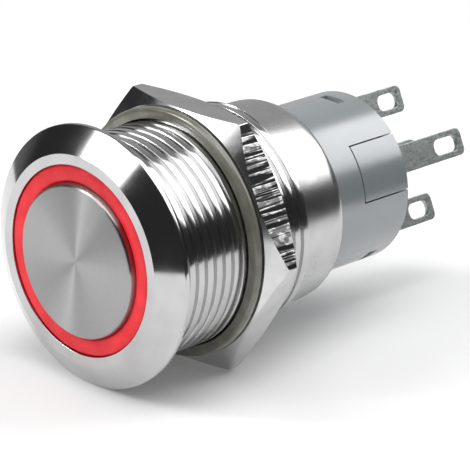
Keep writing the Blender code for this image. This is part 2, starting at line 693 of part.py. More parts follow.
def build_terminals(frame):
    """Five terminals: three for the contacts in a row and two for the lamps."""
    for name in ("terminal_lamp_plus", "terminal_lamp_minus"):
        build_blade(name, LAMP_BLADE_FRONT, LAMP_EYE_LENGTH, frame)
    foot_half = BLADE_WIDTH / 2 - FOOT_INSET
    for name, side in (("terminal_normally_open", -1), ("terminal_normally_closed", 1)):
        blade = build_blade(name, FOOT_FRONT - FOOT_INSET, CONTACT_EYE_LENGTH, frame)
        inner = side * (ROCKER_REACH - RIVET_RADIUS - SLIDE_GAP)
        foot = block(name + "_foot", sorted((inner, side * CONTACT_ROW)),
                     (FOOT_FRONT, FOOT_FRONT + BLADE_THICKNESS), (-foot_half, foot_half),
                     TINNED_BRASS, frame)
        boolean(blade, foot, "UNION")
    build_common(frame)


def build_common(frame):
    """Common terminal: its blade carries a yoke whose two ears hold the pivot pin."""
    bridge_back = BRIDGE_FRONT + BLADE_THICKNESS
    ear_inner = ROCKER_WIDTH / 2 + SLIDE_GAP
    ear_outer = ear_inner + EAR_THICKNESS
    ear_front = PIVOT_PLACE - EAR_HALF_WIDTH
    blade = build_blade("terminal_common", (BRIDGE_FRONT + bridge_back) / 2, CONTACT_EYE_LENGTH, frame)
    outline = [
        (ear_front, ear_outer),
        (bridge_back, ear_outer),
        (bridge_back, -ear_outer),
        (ear_front, -ear_outer),
        (ear_front, -ear_inner),
        (BRIDGE_FRONT, -ear_inner),
        (BRIDGE_FRONT, ear_inner),
        (ear_front, ear_inner),
    ]
    yoke = upright_plate("common_yoke", outline, (-EAR_HALF_WIDTH, EAR_HALF_WIDTH), TINNED_BRASS, frame)
    boolean(blade, yoke, "UNION")
    hole = rod("common_pin_hole", PIN_RADIUS + SEAT_GAP, (-2 * ear_outer, 2 * ear_outer), TINNED_BRASS,
               "Z", (0.0, PIVOT_PLACE), frame)
    boolean(blade, hole)
    pin_half = ear_outer + SLIDE_GAP
    rod("pivot_pin", PIN_RADIUS, (-pin_half, pin_half), SPRING_STEEL, "Z", (0.0, PIVOT_PLACE), frame)


def build_fixed_contacts(frame):
    """Silver rivets on the feet of the two changeover terminals."""
    for name, side in (("fixed_contact_open", -1), ("fixed_contact_closed", 1)):
        rod(name, RIVET_RADIUS, (FIXED_FRONT, FIXED_FRONT + RIVET_HEIGHT), CONTACT_SILVER,
            centre=(side * ROCKER_REACH, 0.0), parent=frame)


def build_rocker(pivot):
    """Rocker on the pivot pin with a silver rivet at each end; it is made level on the pivot."""
    reach = ROCKER_REACH + RIVET_RADIUS
    half = ROCKER_THICKNESS / 2
    plate = block("contact_rocker", (-reach, reach), (-half, half),
                  (-ROCKER_WIDTH / 2, ROCKER_WIDTH / 2), TINNED_BRASS, pivot)
    boss_half = ROCKER_WIDTH / 2 + SEAT_GAP
    boss = rod("rocker_boss", ROCKER_BOSS, (-boss_half, boss_half), TINNED_BRASS, "Z", parent=pivot)
    boolean(plate, boss, "UNION")
    bore = rod("rocker_bore", PIN_RADIUS + PIN_GAP, (-ROCKER_WIDTH, ROCKER_WIDTH), TINNED_BRASS, "Z",
               parent=pivot)
    boolean(plate, bore)
    seat = half + SEAT_GAP
    for name, side in (("moving_contact_open", -1), ("moving_contact_closed", 1)):
        rod(name, RIVET_RADIUS, (seat, seat + RIVET_HEIGHT), CONTACT_SILVER,
            centre=(side * ROCKER_REACH, 0.0), parent=pivot)


def build_contact_spring():
    """Small coil that carries the plunger's push to the rocker."""
    span = (NOSE_END + SEAT_GAP, PIVOT_PLACE - ROCKER_BOSS - SLIDE_GAP)
    return coil("contact_spring", CONTACT_SPRING_RADIUS, CONTACT_SPRING_WIRE, span, SPRING_TURNS,
                SPRING_STEEL)


def build_leads(frame):
    """Straight wires from the lamp board to the two lamp terminals."""
    for name, side in (("lead_lamp_plus", 1), ("lead_lamp_minus", -1)):
        rod(name, LEAD_RADIUS, (BOARD_BACK + SEAT_GAP, LAMP_BLADE_FRONT - SEAT_GAP), SPRING_STEEL,
            centre=(0.0, side * LAMP_ROW), parent=frame)


def main():
    """Build every piece in the order a person would assemble it."""
    clear_scene()
    frame = add_empty("switch_clocking", rotation_y=-CLOCKING)
    button = add_empty("button_press_axis")
    nut_axis = add_empty("nut_turn_axis")
    pivot = add_empty("rocker_pivot", (0.0, PIVOT_PLACE, 0.0), parent=frame)
    build_barrel()
    build_nut(nut_axis)
    build_gasket(nut_axis)
    build_light_ring()
    build_cap(button)
    build_plunger(button)
    build_ring_seal("button_seal", SEAL_RADIUS, SEAL_SECTION, SEAL_PLACE, BLACK_RUBBER, button)
    build_clip(button)
    build_return_spring()
    build_bush(frame)
    build_lamp_board()
    build_leads(frame)
    build_housing(frame)
    seal_radius = HOUSING_RADIUS - SEAL_RING_SECTION + SEAT_GAP / 2
    build_ring_seal("housing_seal", seal_radius, SEAL_RING_SECTION - SEAT_GAP / 2, SEAL_RING_PLACE,
                    BLACK_RUBBER)
    build_base(frame)
    build_terminals(frame)
    build_fixed_contacts(frame)
    build_rocker(pivot)
    pivot.rotation_euler = (0.0, 0.0, ROCKER_TILT)
    build_contact_spring()


main()
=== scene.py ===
"""Looks for an illuminated stainless push button with a red lens ring.

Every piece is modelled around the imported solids, in metres. The button's axis is Y, its
face looks towards -Y and Z is up. Each class below is one sub-assembly, which holds its
sizes, builds its meshes and dresses them. Each finish is a small frozen class that makes
one node material.
"""

import json
import logging
import math
from collections.abc import Callable, Sequence
from dataclasses import dataclass
from enum import Enum
from functools import cache
from typing import Protocol

import bmesh
import bpy
from bmesh.types import BMEdge, BMesh, BMFace, BMVert
from bpy.types import Material, Node, NodeSocket
from mathutils import Matrix, Vector


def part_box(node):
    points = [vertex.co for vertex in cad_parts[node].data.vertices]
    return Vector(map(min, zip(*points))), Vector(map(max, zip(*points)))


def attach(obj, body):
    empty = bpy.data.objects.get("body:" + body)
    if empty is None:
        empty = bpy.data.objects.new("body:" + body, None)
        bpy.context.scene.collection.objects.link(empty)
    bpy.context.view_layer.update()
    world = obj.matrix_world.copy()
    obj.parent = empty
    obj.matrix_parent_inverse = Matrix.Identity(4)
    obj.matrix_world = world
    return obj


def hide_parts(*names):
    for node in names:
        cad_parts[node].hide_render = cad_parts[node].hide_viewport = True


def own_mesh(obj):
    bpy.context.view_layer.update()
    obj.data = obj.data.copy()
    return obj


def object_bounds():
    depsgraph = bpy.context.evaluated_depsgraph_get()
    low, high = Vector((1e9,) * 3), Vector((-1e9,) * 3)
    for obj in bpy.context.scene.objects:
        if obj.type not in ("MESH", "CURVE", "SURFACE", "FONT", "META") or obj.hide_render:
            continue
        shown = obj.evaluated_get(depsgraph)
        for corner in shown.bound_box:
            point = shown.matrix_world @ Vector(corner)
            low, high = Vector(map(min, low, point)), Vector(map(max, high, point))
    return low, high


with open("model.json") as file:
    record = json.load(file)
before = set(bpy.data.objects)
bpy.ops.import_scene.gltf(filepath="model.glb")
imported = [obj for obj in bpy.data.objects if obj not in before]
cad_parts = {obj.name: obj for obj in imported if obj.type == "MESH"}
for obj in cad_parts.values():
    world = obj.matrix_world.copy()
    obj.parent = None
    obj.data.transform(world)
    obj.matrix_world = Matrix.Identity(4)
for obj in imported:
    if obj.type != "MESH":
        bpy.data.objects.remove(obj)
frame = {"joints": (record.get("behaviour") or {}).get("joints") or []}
CAD_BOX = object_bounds()

MM = 0.001
FINE_STEPS = 160
SMALL_STEPS = 48
ARC_STEPS = 5
ROUNDING_REACH = 0.9
WIRE_SIDES = 12
CORD_SIDES = 20
QUARTER_TURN = math.radians(90.0)
TURN_RADIUS = 10.0 * MM
WELD = 2e-6
SMOOTH_ANGLE = math.radians(30.0)
AXIS = Vector((0.0, 1.0, 0.0))
# What every turn about the button's axis shares.
ROUND_AXIS = {"cent": (0, 0, 0), "axis": AXIS}
# Roundings of turned and moulded corners.
CRISP = 0.05 * MM
SOFT = 0.1 * MM
EASY = 0.15 * MM
FULL = 0.2 * MM
SEAT_GAP = 0.05 * MM
LEAD_RADIUS = 0.22 * MM
LEAD_HOLE = 0.34 * MM
CONTACT_ROW = 5.6 * MM
LAMP_ROW = 4.95 * MM
LOG = logging.getLogger("push_button")

Point = tuple[float, float]
Color = tuple[float, float, float]
Size = tuple[float, float, float]


# ---------------------------------------------------------------- shapes


@dataclass(frozen=True)
class Corner:
    """A corner of a turned outline: its radius, its place along the axis and its rounding."""

    radius: float
    place: float
    rounding: float = 0.0


class Cut(Enum):
    """How one solid changes another."""

    AWAY = "DIFFERENCE"
    WITHIN = "INTERSECT"
    TOGETHER = "UNION"


class Turn(Enum):
    """The row axis that a round bar or hole runs along."""

    ALONG = "Y"
    UPRIGHT = "Z"


def rounded(corners: Sequence[Corner], closed: bool) -> list[Point]:
    """Replace each corner that has a rounding by a short curve.

    Args:
        corners: The outline's corners in order.
        closed: Whether the last corner joins the first.

    Returns:
        The outline's points as (radius, place).
    """
    points: list[Point] = []
    count = len(corners)
    for index, corner in enumerate(corners):
        here = Vector((corner.radius, corner.place))
        at_end = not closed and index in (0, count - 1)
        if corner.rounding <= 0.0 or at_end:
            points.append((here.x, here.y))
            continue
        before = corners[index - 1]
        after = corners[(index + 1) % count]
        inward = Vector((before.radius, before.place)) - here
        onward = Vector((after.radius, after.place)) - here
        opening = inward.angle(onward)
        reach = corner.rounding / math.tan(opening / 2)
        reach = min(reach, ROUNDING_REACH * inward.length, ROUNDING_REACH * onward.length)
        first = here + inward.normalized() * reach
        last = here + onward.normalized() * reach
        for step in range(ARC_STEPS + 1):
            share = step / ARC_STEPS
            point = first * (1 - share) ** 2 + here * 2 * share * (1 - share) + last * share**2
            points.append((point.x, point.y))
    return points


def weld(bm: BMesh) -> BMesh:
    """Merge doubled vertices and turn every face outwards.

    Args:
        bm: The mesh to clean.

    Returns:
        The same mesh.
    """
    bmesh.ops.remove_doubles(bm, verts=bm.verts, dist=WELD)
    bmesh.ops.dissolve_degenerate(bm, edges=bm.edges, dist=WELD / 10)
    bmesh.ops.recalc_face_normals(bm, faces=bm.faces)
    return bm


def lathe(corners: Sequence[Corner], steps: int = FINE_STEPS, closed: bool = True) -> BMesh:
    """Spin an outline a full turn about the button's axis.

    Args:
        corners: The outline's corners.
        steps: The number of facets round the axis.
        closed: Whether the outline is a closed ring; one that starts and ends on the axis isn't.

    Returns:
        The turned mesh.
    """
    bm = bmesh.new()
    verts = [bm.verts.new((radius, place, 0.0)) for radius, place in rounded(corners, closed)]
    edges = [bm.edges.new(pair) for pair in zip(verts, verts[1:])]
    if closed:
        edges.append(bm.edges.new((verts[-1], verts[0])))
    bmesh.ops.spin(bm, geom=verts + edges, **ROUND_AXIS, angle=math.tau,
                   steps=steps, use_merge=True)
    return weld(bm)


def absorb(bm: BMesh, other: BMesh) -> None:
    """Add another mesh's shapes to this one and free the other.

    Args:
        bm: The mesh that grows.
        other: The mesh that is added.
    """
    carrier = bpy.data.meshes.new("carrier")
    other.to_mesh(carrier)
    other.free()
    bm.from_mesh(carrier)
    bpy.data.meshes.remove(carrier)


def block(low: Sequence[float], high: Sequence[float]) -> BMesh:
    """Make a box from its lowest and highest corners.

    Args:
        low: The lowest x, y and z.
        high: The highest x, y and z.

    Returns:
        The box.
    """
    bm = bmesh.new()
    bmesh.ops.create_cube(bm, size=1.0)
    size = [top - bottom for bottom, top in zip(low, high)]
    middle = [(top + bottom) / 2 for bottom, top in zip(low, high)]
    bmesh.ops.scale(bm, vec=size, verts=bm.verts)
    bmesh.ops.translate(bm, vec=middle, verts=bm.verts)
    return bm


def bar(radius: float, span: Point, turn: Turn = Turn.ALONG, centre: Point = (0.0, 0.0),
        rounding: float = 0.0) -> BMesh:
    """Make a round bar.

    Args:
        radius: The bar's radius.
        span: Where it starts and ends along its own direction.
        turn: The direction that it runs in.
        centre: Its place across: (x, z) for a bar along Y, or (x, y) for an upright one.
        rounding: The width of the rounding at both ends.

    Returns:
        The bar.
    """
    bm = bmesh.new()
    bmesh.ops.create_cone(bm, cap_ends=True, segments=SMALL_STEPS, radius1=radius, radius2=radius,
                          depth=span[1] - span[0])
    if rounding > 0.0:
        rims = [edge for edge in bm.edges if any(len(face.verts) > 4 for face in edge.link_faces)]
        bmesh.ops.bevel(bm, geom=rims, offset=rounding, segments=3, profile=0.5, affect="EDGES",
                        material=-1)
    middle = (span[0] + span[1]) / 2
    if turn is Turn.ALONG:
        place = Matrix.Translation((centre[0], middle, centre[1]))
        place = place @ Matrix.Rotation(-QUARTER_TURN, 4, "X")
    else:
        place = Matrix.Translation((centre[0], centre[1], middle))
    bmesh.ops.transform(bm, matrix=place, verts=bm.verts)
    return bm


def round_edges(bm: BMesh, width: float, segments: int,
                wanted: Callable[[BMEdge], bool]) -> None:
    """Bevel the edges that a test picks.

    Args:
        bm: The mesh to change.
        width: The bevel's width.
        segments: The number of faces across the bevel.
        wanted: A test that returns true for an edge to round.
    """
    edges = [edge for edge in bm.edges if wanted(edge)]
    bmesh.ops.bevel(bm, geom=edges, offset=width, segments=segments, profile=0.5, affect="EDGES",
                    material=-1, clamp_overlap=True)


def soften(bm: BMesh, width: float, segments: int = 2, angle: float = 50.0) -> None:
    """Round every edge that is sharper than an angle.

    Args:
        bm: The mesh to change.
        width: The bevel's width.
        segments: The number of faces across the bevel.
        angle: The smallest angle in degrees between faces that counts as sharp.
    """
    limit = math.radians(angle)
    bmesh.ops.recalc_face_normals(bm, faces=bm.faces)
    round_edges(bm, width, segments,
                lambda edge: len(edge.link_faces) == 2 and edge.calc_face_angle(0.0) > limit)


def runs_along(edge: BMEdge, axis: int) -> bool:
    """Tell whether an edge is parallel to a row axis.

    Args:
        edge: The edge.
        axis: 0, 1 or 2 for X, Y or Z.

    Returns:
        True for a parallel edge.
    """
    way = edge.verts[1].co - edge.verts[0].co
    return way.length > 0.0 and abs(way[axis]) > 0.999 * way.length


def combine(bm: BMesh, tool: BMesh, cut: Cut) -> BMesh:
    """Cut a mesh with another, or join them. Both meshes are used up.

    Args:
        bm: The mesh that changes.
        tool: The mesh that changes it.
        cut: What happens.

    Returns:
        The result.
    """
    holders = []
    for source in (bm, tool):
        mesh = bpy.data.meshes.new("solid")
        bmesh.ops.recalc_face_normals(source, faces=source.faces)
        source.to_mesh(mesh)
        source.free()
        holder = bpy.data.objects.new("solid", mesh)
        bpy.context.scene.collection.objects.link(holder)
        holders.append(holder)
    modifier = holders[0].modifiers.new("cut", "BOOLEAN")
    modifier.object = holders[1]
    modifier.operation = cut.value
    modifier.solver = "EXACT"
    settled = holders[0].evaluated_get(bpy.context.evaluated_depsgraph_get())
    result = bmesh.new()
    result.from_mesh(settled.to_mesh())
    for holder in holders:
        mesh = holder.data
        bpy.data.objects.remove(holder, do_unlink=True)
        bpy.data.meshes.remove(mesh)
    return weld(result)


def sector(radii: Point, span: Point, middle: float, half_angle: float) -> BMesh:
    """Make a curved block by spinning a rectangle part of a turn about the axis.

    Args:
        radii: The inner and outer radius.
        span: Where it starts and ends along the axis.
        middle: Its middle, as an angle from X towards Z.
        half_angle: Half of the angle that it covers.

    Returns:
        The curved block.
    """
    bm = bmesh.new()
    corners = [(radii[0], span[0]), (radii[1], span[0]), (radii[1], span[1]), (radii[0], span[1])]
    face = bm.faces.new([bm.verts.new((radius, place, 0.0)) for radius, place in corners])
    steps = max(6, round(FINE_STEPS * half_angle / math.pi))
    start = Matrix.Rotation(-(middle - half_angle), 3, "Y")
    bmesh.ops.rotate(bm, cent=(0, 0, 0), matrix=start, verts=bm.verts)
    bmesh.ops.spin(bm, geom=[face], **ROUND_AXIS, angle=-2 * half_angle,
                   steps=steps, use_merge=False)
    bmesh.ops.recalc_face_normals(bm, faces=bm.faces)
    return bm


def coil(radius: float, wire: float, span: Point, turns: float, dead: float = 0.9) -> BMesh:
    """Wind a spring whose first and last coils lie flat.

    Args:
        radius: The radius to the wire's middle.
        wire: The wire's radius.
        span: Where the spring starts and ends along the axis.
        turns: The number of open turns.
        dead: The number of flat turns at each end.

    Returns:
        The spring.
    """
    bm = bmesh.new()
    made = bmesh.ops.create_circle(bm, cap_ends=False, segments=WIRE_SIDES, radius=wire)
    bmesh.ops.translate(bm, vec=(radius, span[0] + wire, 0.0), verts=made["verts"])
    rise = span[1] - span[0] - 2 * wire
    flat_rise = 2 * wire * dead
    ring = list(bm.verts) + list(bm.edges)
    stretches = ((dead, flat_rise), (turns, rise - 2 * flat_rise), (dead, flat_rise))
    for part_turns, part_rise in stretches:
        steps = round(SMALL_STEPS * part_turns)
        spun = bmesh.ops.spin(bm, geom=ring, **ROUND_AXIS,
                              angle=math.tau * part_turns, steps=steps,
                              dvec=AXIS * (part_rise / steps), use_merge=False)
        ring = [item for item in spun["geom_last"] if not isinstance(item, BMFace)]
    bmesh.ops.remove_doubles(bm, verts=bm.verts, dist=WELD)
    bmesh.ops.holes_fill(bm, edges=[edge for edge in bm.edges if edge.is_boundary], sides=0)
    bmesh.ops.recalc_face_normals(bm, faces=bm.faces)
    return bm


def ring_cord(radius: float, section: float, place: float) -> BMesh:
    """Make an O-ring from a circle spun about the axis.

    Args:
        radius: The radius to the section's middle.
        section: The section's radius.
        place: Its place along the axis.

    Returns:
        The ring.
    """
    bm = bmesh.new()
    made = bmesh.ops.create_circle(bm, cap_ends=False, segments=CORD_SIDES, radius=section)
    bmesh.ops.translate(bm, vec=(radius, place, 0.0), verts=made["verts"])
    bmesh.ops.spin(bm, geom=list(bm.verts) + list(bm.edges), **ROUND_AXIS,
                   angle=math.tau, steps=FINE_STEPS // 2, use_merge=True)
    return weld(bm)


@dataclass(frozen=True)
class Thread:
    """A right-hand thread, made by screwing one pitch of its outline along the axis."""

    floor: float
    crest: float
    pitch: float
    first_groove: float
    floor_share: float = 0.05
    crest_share: float = 0.6
    rounding: float = 0.045 * MM

    def wall(self, start: float, end: float) -> BMesh:
        """Build the helical wall between two planes.

        Args:
            start: The place of the first plane.
            end: The place of the last plane.

        Returns:
            The open wall, cut off square at both planes.
        """
        before = math.ceil((self.first_groove - start) / self.pitch) + 1
        origin = self.first_groove - before * self.pitch
        turns = math.ceil((end - origin) / self.pitch) + 1
        places = (0.0, self.floor_share / 2, 0.5 - self.crest_share / 2, 0.5 + self.crest_share / 2,
                  1.0 - self.floor_share / 2, 1.0)
        radii = (self.floor, self.floor, self.crest, self.crest, self.floor, self.floor)
        corners = [Corner(radius, origin + place * self.pitch, self.rounding)
                   for radius, place in zip(radii, places)]
        bm = bmesh.new()
        verts = [bm.verts.new((radius, place, 0.0)) for radius, place in rounded(corners, False)]
        edges = [bm.edges.new(pair) for pair in zip(verts, verts[1:])]
        bmesh.ops.spin(bm, geom=verts + edges, **ROUND_AXIS, angle=math.tau,
                       steps=FINE_STEPS, dvec=AXIS * (self.pitch / FINE_STEPS), use_merge=False)
        strip = list(bm.verts) + list(bm.edges) + list(bm.faces)
        for turn in range(1, turns):
            copied = bmesh.ops.duplicate(bm, geom=strip)["geom"]
            moved = [item for item in copied if isinstance(item, BMVert)]
            bmesh.ops.translate(bm, vec=AXIS * (self.pitch * turn), verts=moved)
        bmesh.ops.remove_doubles(bm, verts=bm.verts, dist=WELD)
        for place, inner in ((start, True), (end, False)):
            bmesh.ops.bisect_plane(bm, geom=list(bm.verts) + list(bm.edges) + list(bm.faces),
                                   dist=1e-9, plane_co=(0.0, place, 0.0), plane_no=AXIS,
                                   clear_inner=inner, clear_outer=not inner)
        return bm

    def close_onto(self, bm: BMesh, start: float, end: float) -> None:
        """Add the wall to a turned mesh and fill the flat rings where they meet.

        Args:
            bm: The turned mesh, open between the two planes.
            start: The place of the first plane.
            end: The place of the last plane.
        """
        absorb(bm, self.wall(start, end))
        for place in (start, end):
            rim = [edge for edge in bm.edges if edge.is_boundary
                   and all(abs(vert.co.y - place) < WELD for vert in edge.verts)]
            bmesh.ops.triangle_fill(bm, edges=rim, normal=AXIS, use_beauty=True, use_dissolve=False)
        bmesh.ops.recalc_face_normals(bm, faces=bm.faces)


# ---------------------------------------------------------------- materials


class Sheet:
    """A new node material, with short calls that add, set and join its nodes."""

    def __init__(self, name: str, **sockets: float | Color) -> None:
        """Make the material and set its shader's sockets.

        Args:
            name: The material's name.
            sockets: Shader sockets by name, with underscores for spaces.
        """
        self.material = bpy.data.materials.new(name)
        self.material.use_nodes = True
        self.tree = self.material.node_tree
        self.shader = self.tree.nodes["Principled BSDF"]
        for key, value in sockets.items():
            socket = self.shader.inputs[key.replace("_", " ")]
            socket.default_value = (*value, 1.0) if isinstance(value, tuple) else value
        self.place = self.node("ShaderNodeTexCoord").outputs["Object"]

    def node(self, kind: str, **settings: object) -> Node:
        """Add a node and set its properties."""
        made = self.tree.nodes.new(kind)
        for key, value in settings.items():
            setattr(made, key, value)
        return made

    def join(self, source: NodeSocket, target: NodeSocket | str) -> None:
        """Join an output to an input, or to a shader socket by its name."""
        if isinstance(target, str):
            target = self.shader.inputs[target]
        self.tree.links.new(source, target)

    def math(self, operation: str, *values: object) -> NodeSocket:
        """Add a Math node whose inputs are sockets or numbers, and return its output."""
        made = self.node("ShaderNodeMath", operation=operation)
        for value, socket in zip(values, made.inputs):
            if isinstance(value, NodeSocket):
                self.join(value, socket)
            else:
                socket.default_value = value
        return made.outputs[0]

    def scaled(self, vector: NodeSocket, factors: Color) -> NodeSocket:
        """Multiply a vector by three factors."""
        made = self.node("ShaderNodeVectorMath", operation="MULTIPLY")
        self.join(vector, made.inputs[0])
        made.inputs[1].default_value = factors
        return made.outputs[0]

    def noise(self, vector: NodeSocket, size: float, detail: float = 2.0) -> NodeSocket:
        """Return noise whose features have about the given size in metres."""
        made = self.node("ShaderNodeTexNoise")
        self.join(vector, made.inputs["Vector"])
        made.inputs["Scale"].default_value = 1.0 / size
        made.inputs["Detail"].default_value = detail
        return made.outputs["Fac"]

    def blend(self, share: NodeSocket, low: float, high: float, start: float = 0.3,
              end: float = 0.7) -> NodeSocket:
        """Turn a share between start and end into a value between low and high."""
        made = self.node("ShaderNodeMapRange", interpolation_type="SMOOTHSTEP")
        self.join(share, made.inputs["Value"])
        limits = (("From Min", start), ("From Max", end), ("To Min", low), ("To Max", high))
        for key, value in limits:
            made.inputs[key].default_value = value
        return made.outputs["Result"]

    def tint(self, share: NodeSocket, low: Color, high: Color, start: float = 0.3,
             end: float = 0.7) -> NodeSocket:
        """Turn a share between start and end into a colour between low and high."""
        made = self.node("ShaderNodeValToRGB")
        self.join(share, made.inputs["Fac"])
        for element, where, color in zip(made.color_ramp.elements, (start, end), (low, high)):
            element.position = where
            element.color = (*color, 1.0)
        return made.outputs["Color"]

    def bump(self, height: NodeSocket, depth: float,
             below: NodeSocket | None = None) -> NodeSocket:
        """Return a normal raised by a height times a depth in metres."""
        made = self.node("ShaderNodeBump")
        made.inputs["Distance"].default_value = depth
        self.join(height, made.inputs["Height"])
        if below is not None:
            self.join(below, made.inputs["Normal"])
        return made.outputs["Normal"]

    def shade(self, share: NodeSocket, low: Color, high: Color, *limits: float) -> None:
        """Tint the shader's base colour."""
        self.join(self.tint(share, low, high, *limits), "Base Color")

    def shine(self, share: NodeSocket, low: float, high: float) -> None:
        """Vary the shader's roughness."""
        self.join(self.blend(share, low, high), "Roughness")

    def relief(self, height: NodeSocket, depth: float, below: NodeSocket | None = None) -> None:
        """Raise the shader's surface."""
        self.join(self.bump(height, depth, below), "Normal")

    def parts(self) -> bpy.types.bpy_prop_collection:
        """Return the place's X, Y and Z outputs."""
        made = self.node("ShaderNodeSeparateXYZ")
        self.join(self.place, made.inputs[0])
        return made.outputs

    def around_axis(self) -> tuple[NodeSocket, NodeSocket, NodeSocket]:
        """Return the radius, the length round a 10 mm circle and the place along the axis."""
        parts = self.parts()
        squares = self.math("ADD", self.math("POWER", parts["X"], 2.0),
                            self.math("POWER", parts["Z"], 2.0))
        radius = self.math("SQRT", squares)
        turn = self.math("ARCTAN2", parts["Z"], parts["X"])
        return radius, self.math("MULTIPLY", turn, TURN_RADIUS), parts["Y"]

    def vector(self, *parts: object) -> NodeSocket:
        """Combine up to three sockets or numbers into a vector."""
        made = self.node("ShaderNodeCombineXYZ")
        for part, socket in zip(parts, made.inputs):
            if isinstance(part, NodeSocket):
                self.join(part, socket)
            else:
                socket.default_value = part
        return made.outputs[0]


@dataclass(frozen=True)
class TurnedSteel:
    """Polished stainless steel with faint turning rings, satin on the tail behind the thread."""

    name: str = "turned_steel"
    color: Color = (0.6, 0.6, 0.6)
    shade: Color = (0.5, 0.5, 0.5)
    roughness: float = 0.1
    satin: float = 0.14
    satin_start: float = 14.5 * MM
    satin_end: float = 16.0 * MM
    ring_width: float = 0.06 * MM
    ring_depth: float = 0.0012 * MM
    ring_spread: float = 0.02
    smudge: float = 3.5 * MM
    smudge_dulling: float = 1.5

    def make(self) -> Material:
        """Build the material."""
        sheet = Sheet(self.name, Metallic=1.0)
        radius, turn, place = sheet.around_axis()
        along = sheet.vector(radius, place, sheet.math("MULTIPLY", turn, self.ring_spread))
        rings = sheet.noise(along, self.ring_width, 3.0)
        smudges = sheet.noise(sheet.place, self.smudge, 4.0)
        sheet.shade(smudges, self.shade, self.color)
        polish = sheet.blend(smudges, self.roughness * self.smudge_dulling, self.roughness)
        satin = sheet.blend(place, 0.0, self.satin, self.satin_start, self.satin_end)
        sheet.join(sheet.math("ADD", polish, satin), "Roughness")
        sheet.relief(rings, self.ring_depth)
        return sheet.material


@dataclass(frozen=True)
class SpunSteel:
    """Steel spun against an abrasive, so that its grain runs in circles."""

    name: str = "spun_steel"
    color: Color = (0.42, 0.42, 0.42)
    shade: Color = (0.38, 0.38, 0.38)
    grain_width: float = 0.03 * MM
    grain_depth: float = 0.0016 * MM

    def make(self) -> Material:
        """Build the material."""
        sheet = Sheet(self.name, Metallic=1.0, Roughness=0.3, Anisotropic=0.97)
        radius, _, place = sheet.around_axis()
        along = sheet.vector(radius, place)
        grain = sheet.noise(along, self.grain_width, 4.0)
        bands = sheet.noise(along, 3 * self.grain_width, 3.0)
        sheet.shade(bands, self.shade, self.color)
        sheet.relief(grain, self.grain_depth)
        outward = sheet.node("ShaderNodeVectorMath", operation="NORMALIZE")
        sheet.join(sheet.scaled(sheet.place, (1.0, 0.0, 1.0)), outward.inputs[0])
        sheet.join(outward.outputs[0], "Tangent")
        return sheet.material


@dataclass(frozen=True)
class BroachedSteel:
    """Bar steel whose flat keeps the short ribs of the cutting tool as relief, with painted light:
    its colour is painted near-black between the ribs as a painted dark reflection and pale on the
    ribs as painted glints.
    """

    name: str = "broached_steel"
    # Painted glints: the pale colour on the ribs.
    color: Color = (0.85, 0.85, 0.85)
    # Painted dark reflection: the near-black colour between the ribs.
    shade: Color = (0.03, 0.03, 0.03)
    rib_width: float = 0.2 * MM
    rib_depth: float = 0.02 * MM
    rib_spread: float = 0.03
    rib_patches: float = 0.8 * MM
    pit: float = 0.08 * MM
    pit_depth: float = 0.004 * MM

    def make(self) -> Material:
        """Build the material."""
        sheet = Sheet(self.name, Metallic=1.0, Roughness=0.3)
        _, turn, place = sheet.around_axis()
        across = sheet.vector(turn, sheet.math("MULTIPLY", place, self.rib_spread))
        ribs = sheet.noise(across, self.rib_width, 1.0)
        # Random patches where the ribs, and their painted glints, are fainter.
        rib_patches = sheet.noise(sheet.place, self.rib_patches, 1.0)
        ridges = sheet.blend(ribs, 0.0, 1.0, 0.46, 0.6)
        marks = sheet.math("MULTIPLY", ridges, sheet.blend(rib_patches, 0.35, 1.0, 0.4, 0.6))
        fine = sheet.noise(sheet.place, self.pit, 2.0)
        # Painted reflection and glints: near-black metal between the ribs, pale metal on them. The
        # same ribs are raised below as real relief.
        sheet.shade(marks, self.shade, self.color, 0.0, 1.0)
        sheet.relief(marks, self.rib_depth, sheet.bump(fine, self.pit_depth))
        return sheet.material


@dataclass(frozen=True)
class PlatedSteel:
    """Bright plated steel with a satin variation, for the nut's turned faces."""

    name: str = "plated_steel"
    color: Color = (0.65, 0.65, 0.65)
    roughness: float = 0.15
    ring_width: float = 0.09 * MM
    ring_depth: float = 0.002 * MM
    ring_spread: float = 0.05
    cloud: float = 2.0 * MM

    def make(self) -> Material:
        """Build the material."""
        sheet = Sheet(self.name, Metallic=1.0)
        radius, turn, place = sheet.around_axis()
        along = sheet.vector(radius, place, sheet.math("MULTIPLY", turn, self.ring_spread))
        rings = sheet.noise(along, self.ring_width, 3.0)
        cloud = sheet.noise(sheet.place, self.cloud, 4.0)
        shade = tuple(0.85 * part for part in self.color)
        sheet.shade(cloud, shade, self.color)
        sheet.shine(cloud, self.roughness * 1.6, self.roughness)
        sheet.relief(rings, self.ring_depth)
        return sheet.material


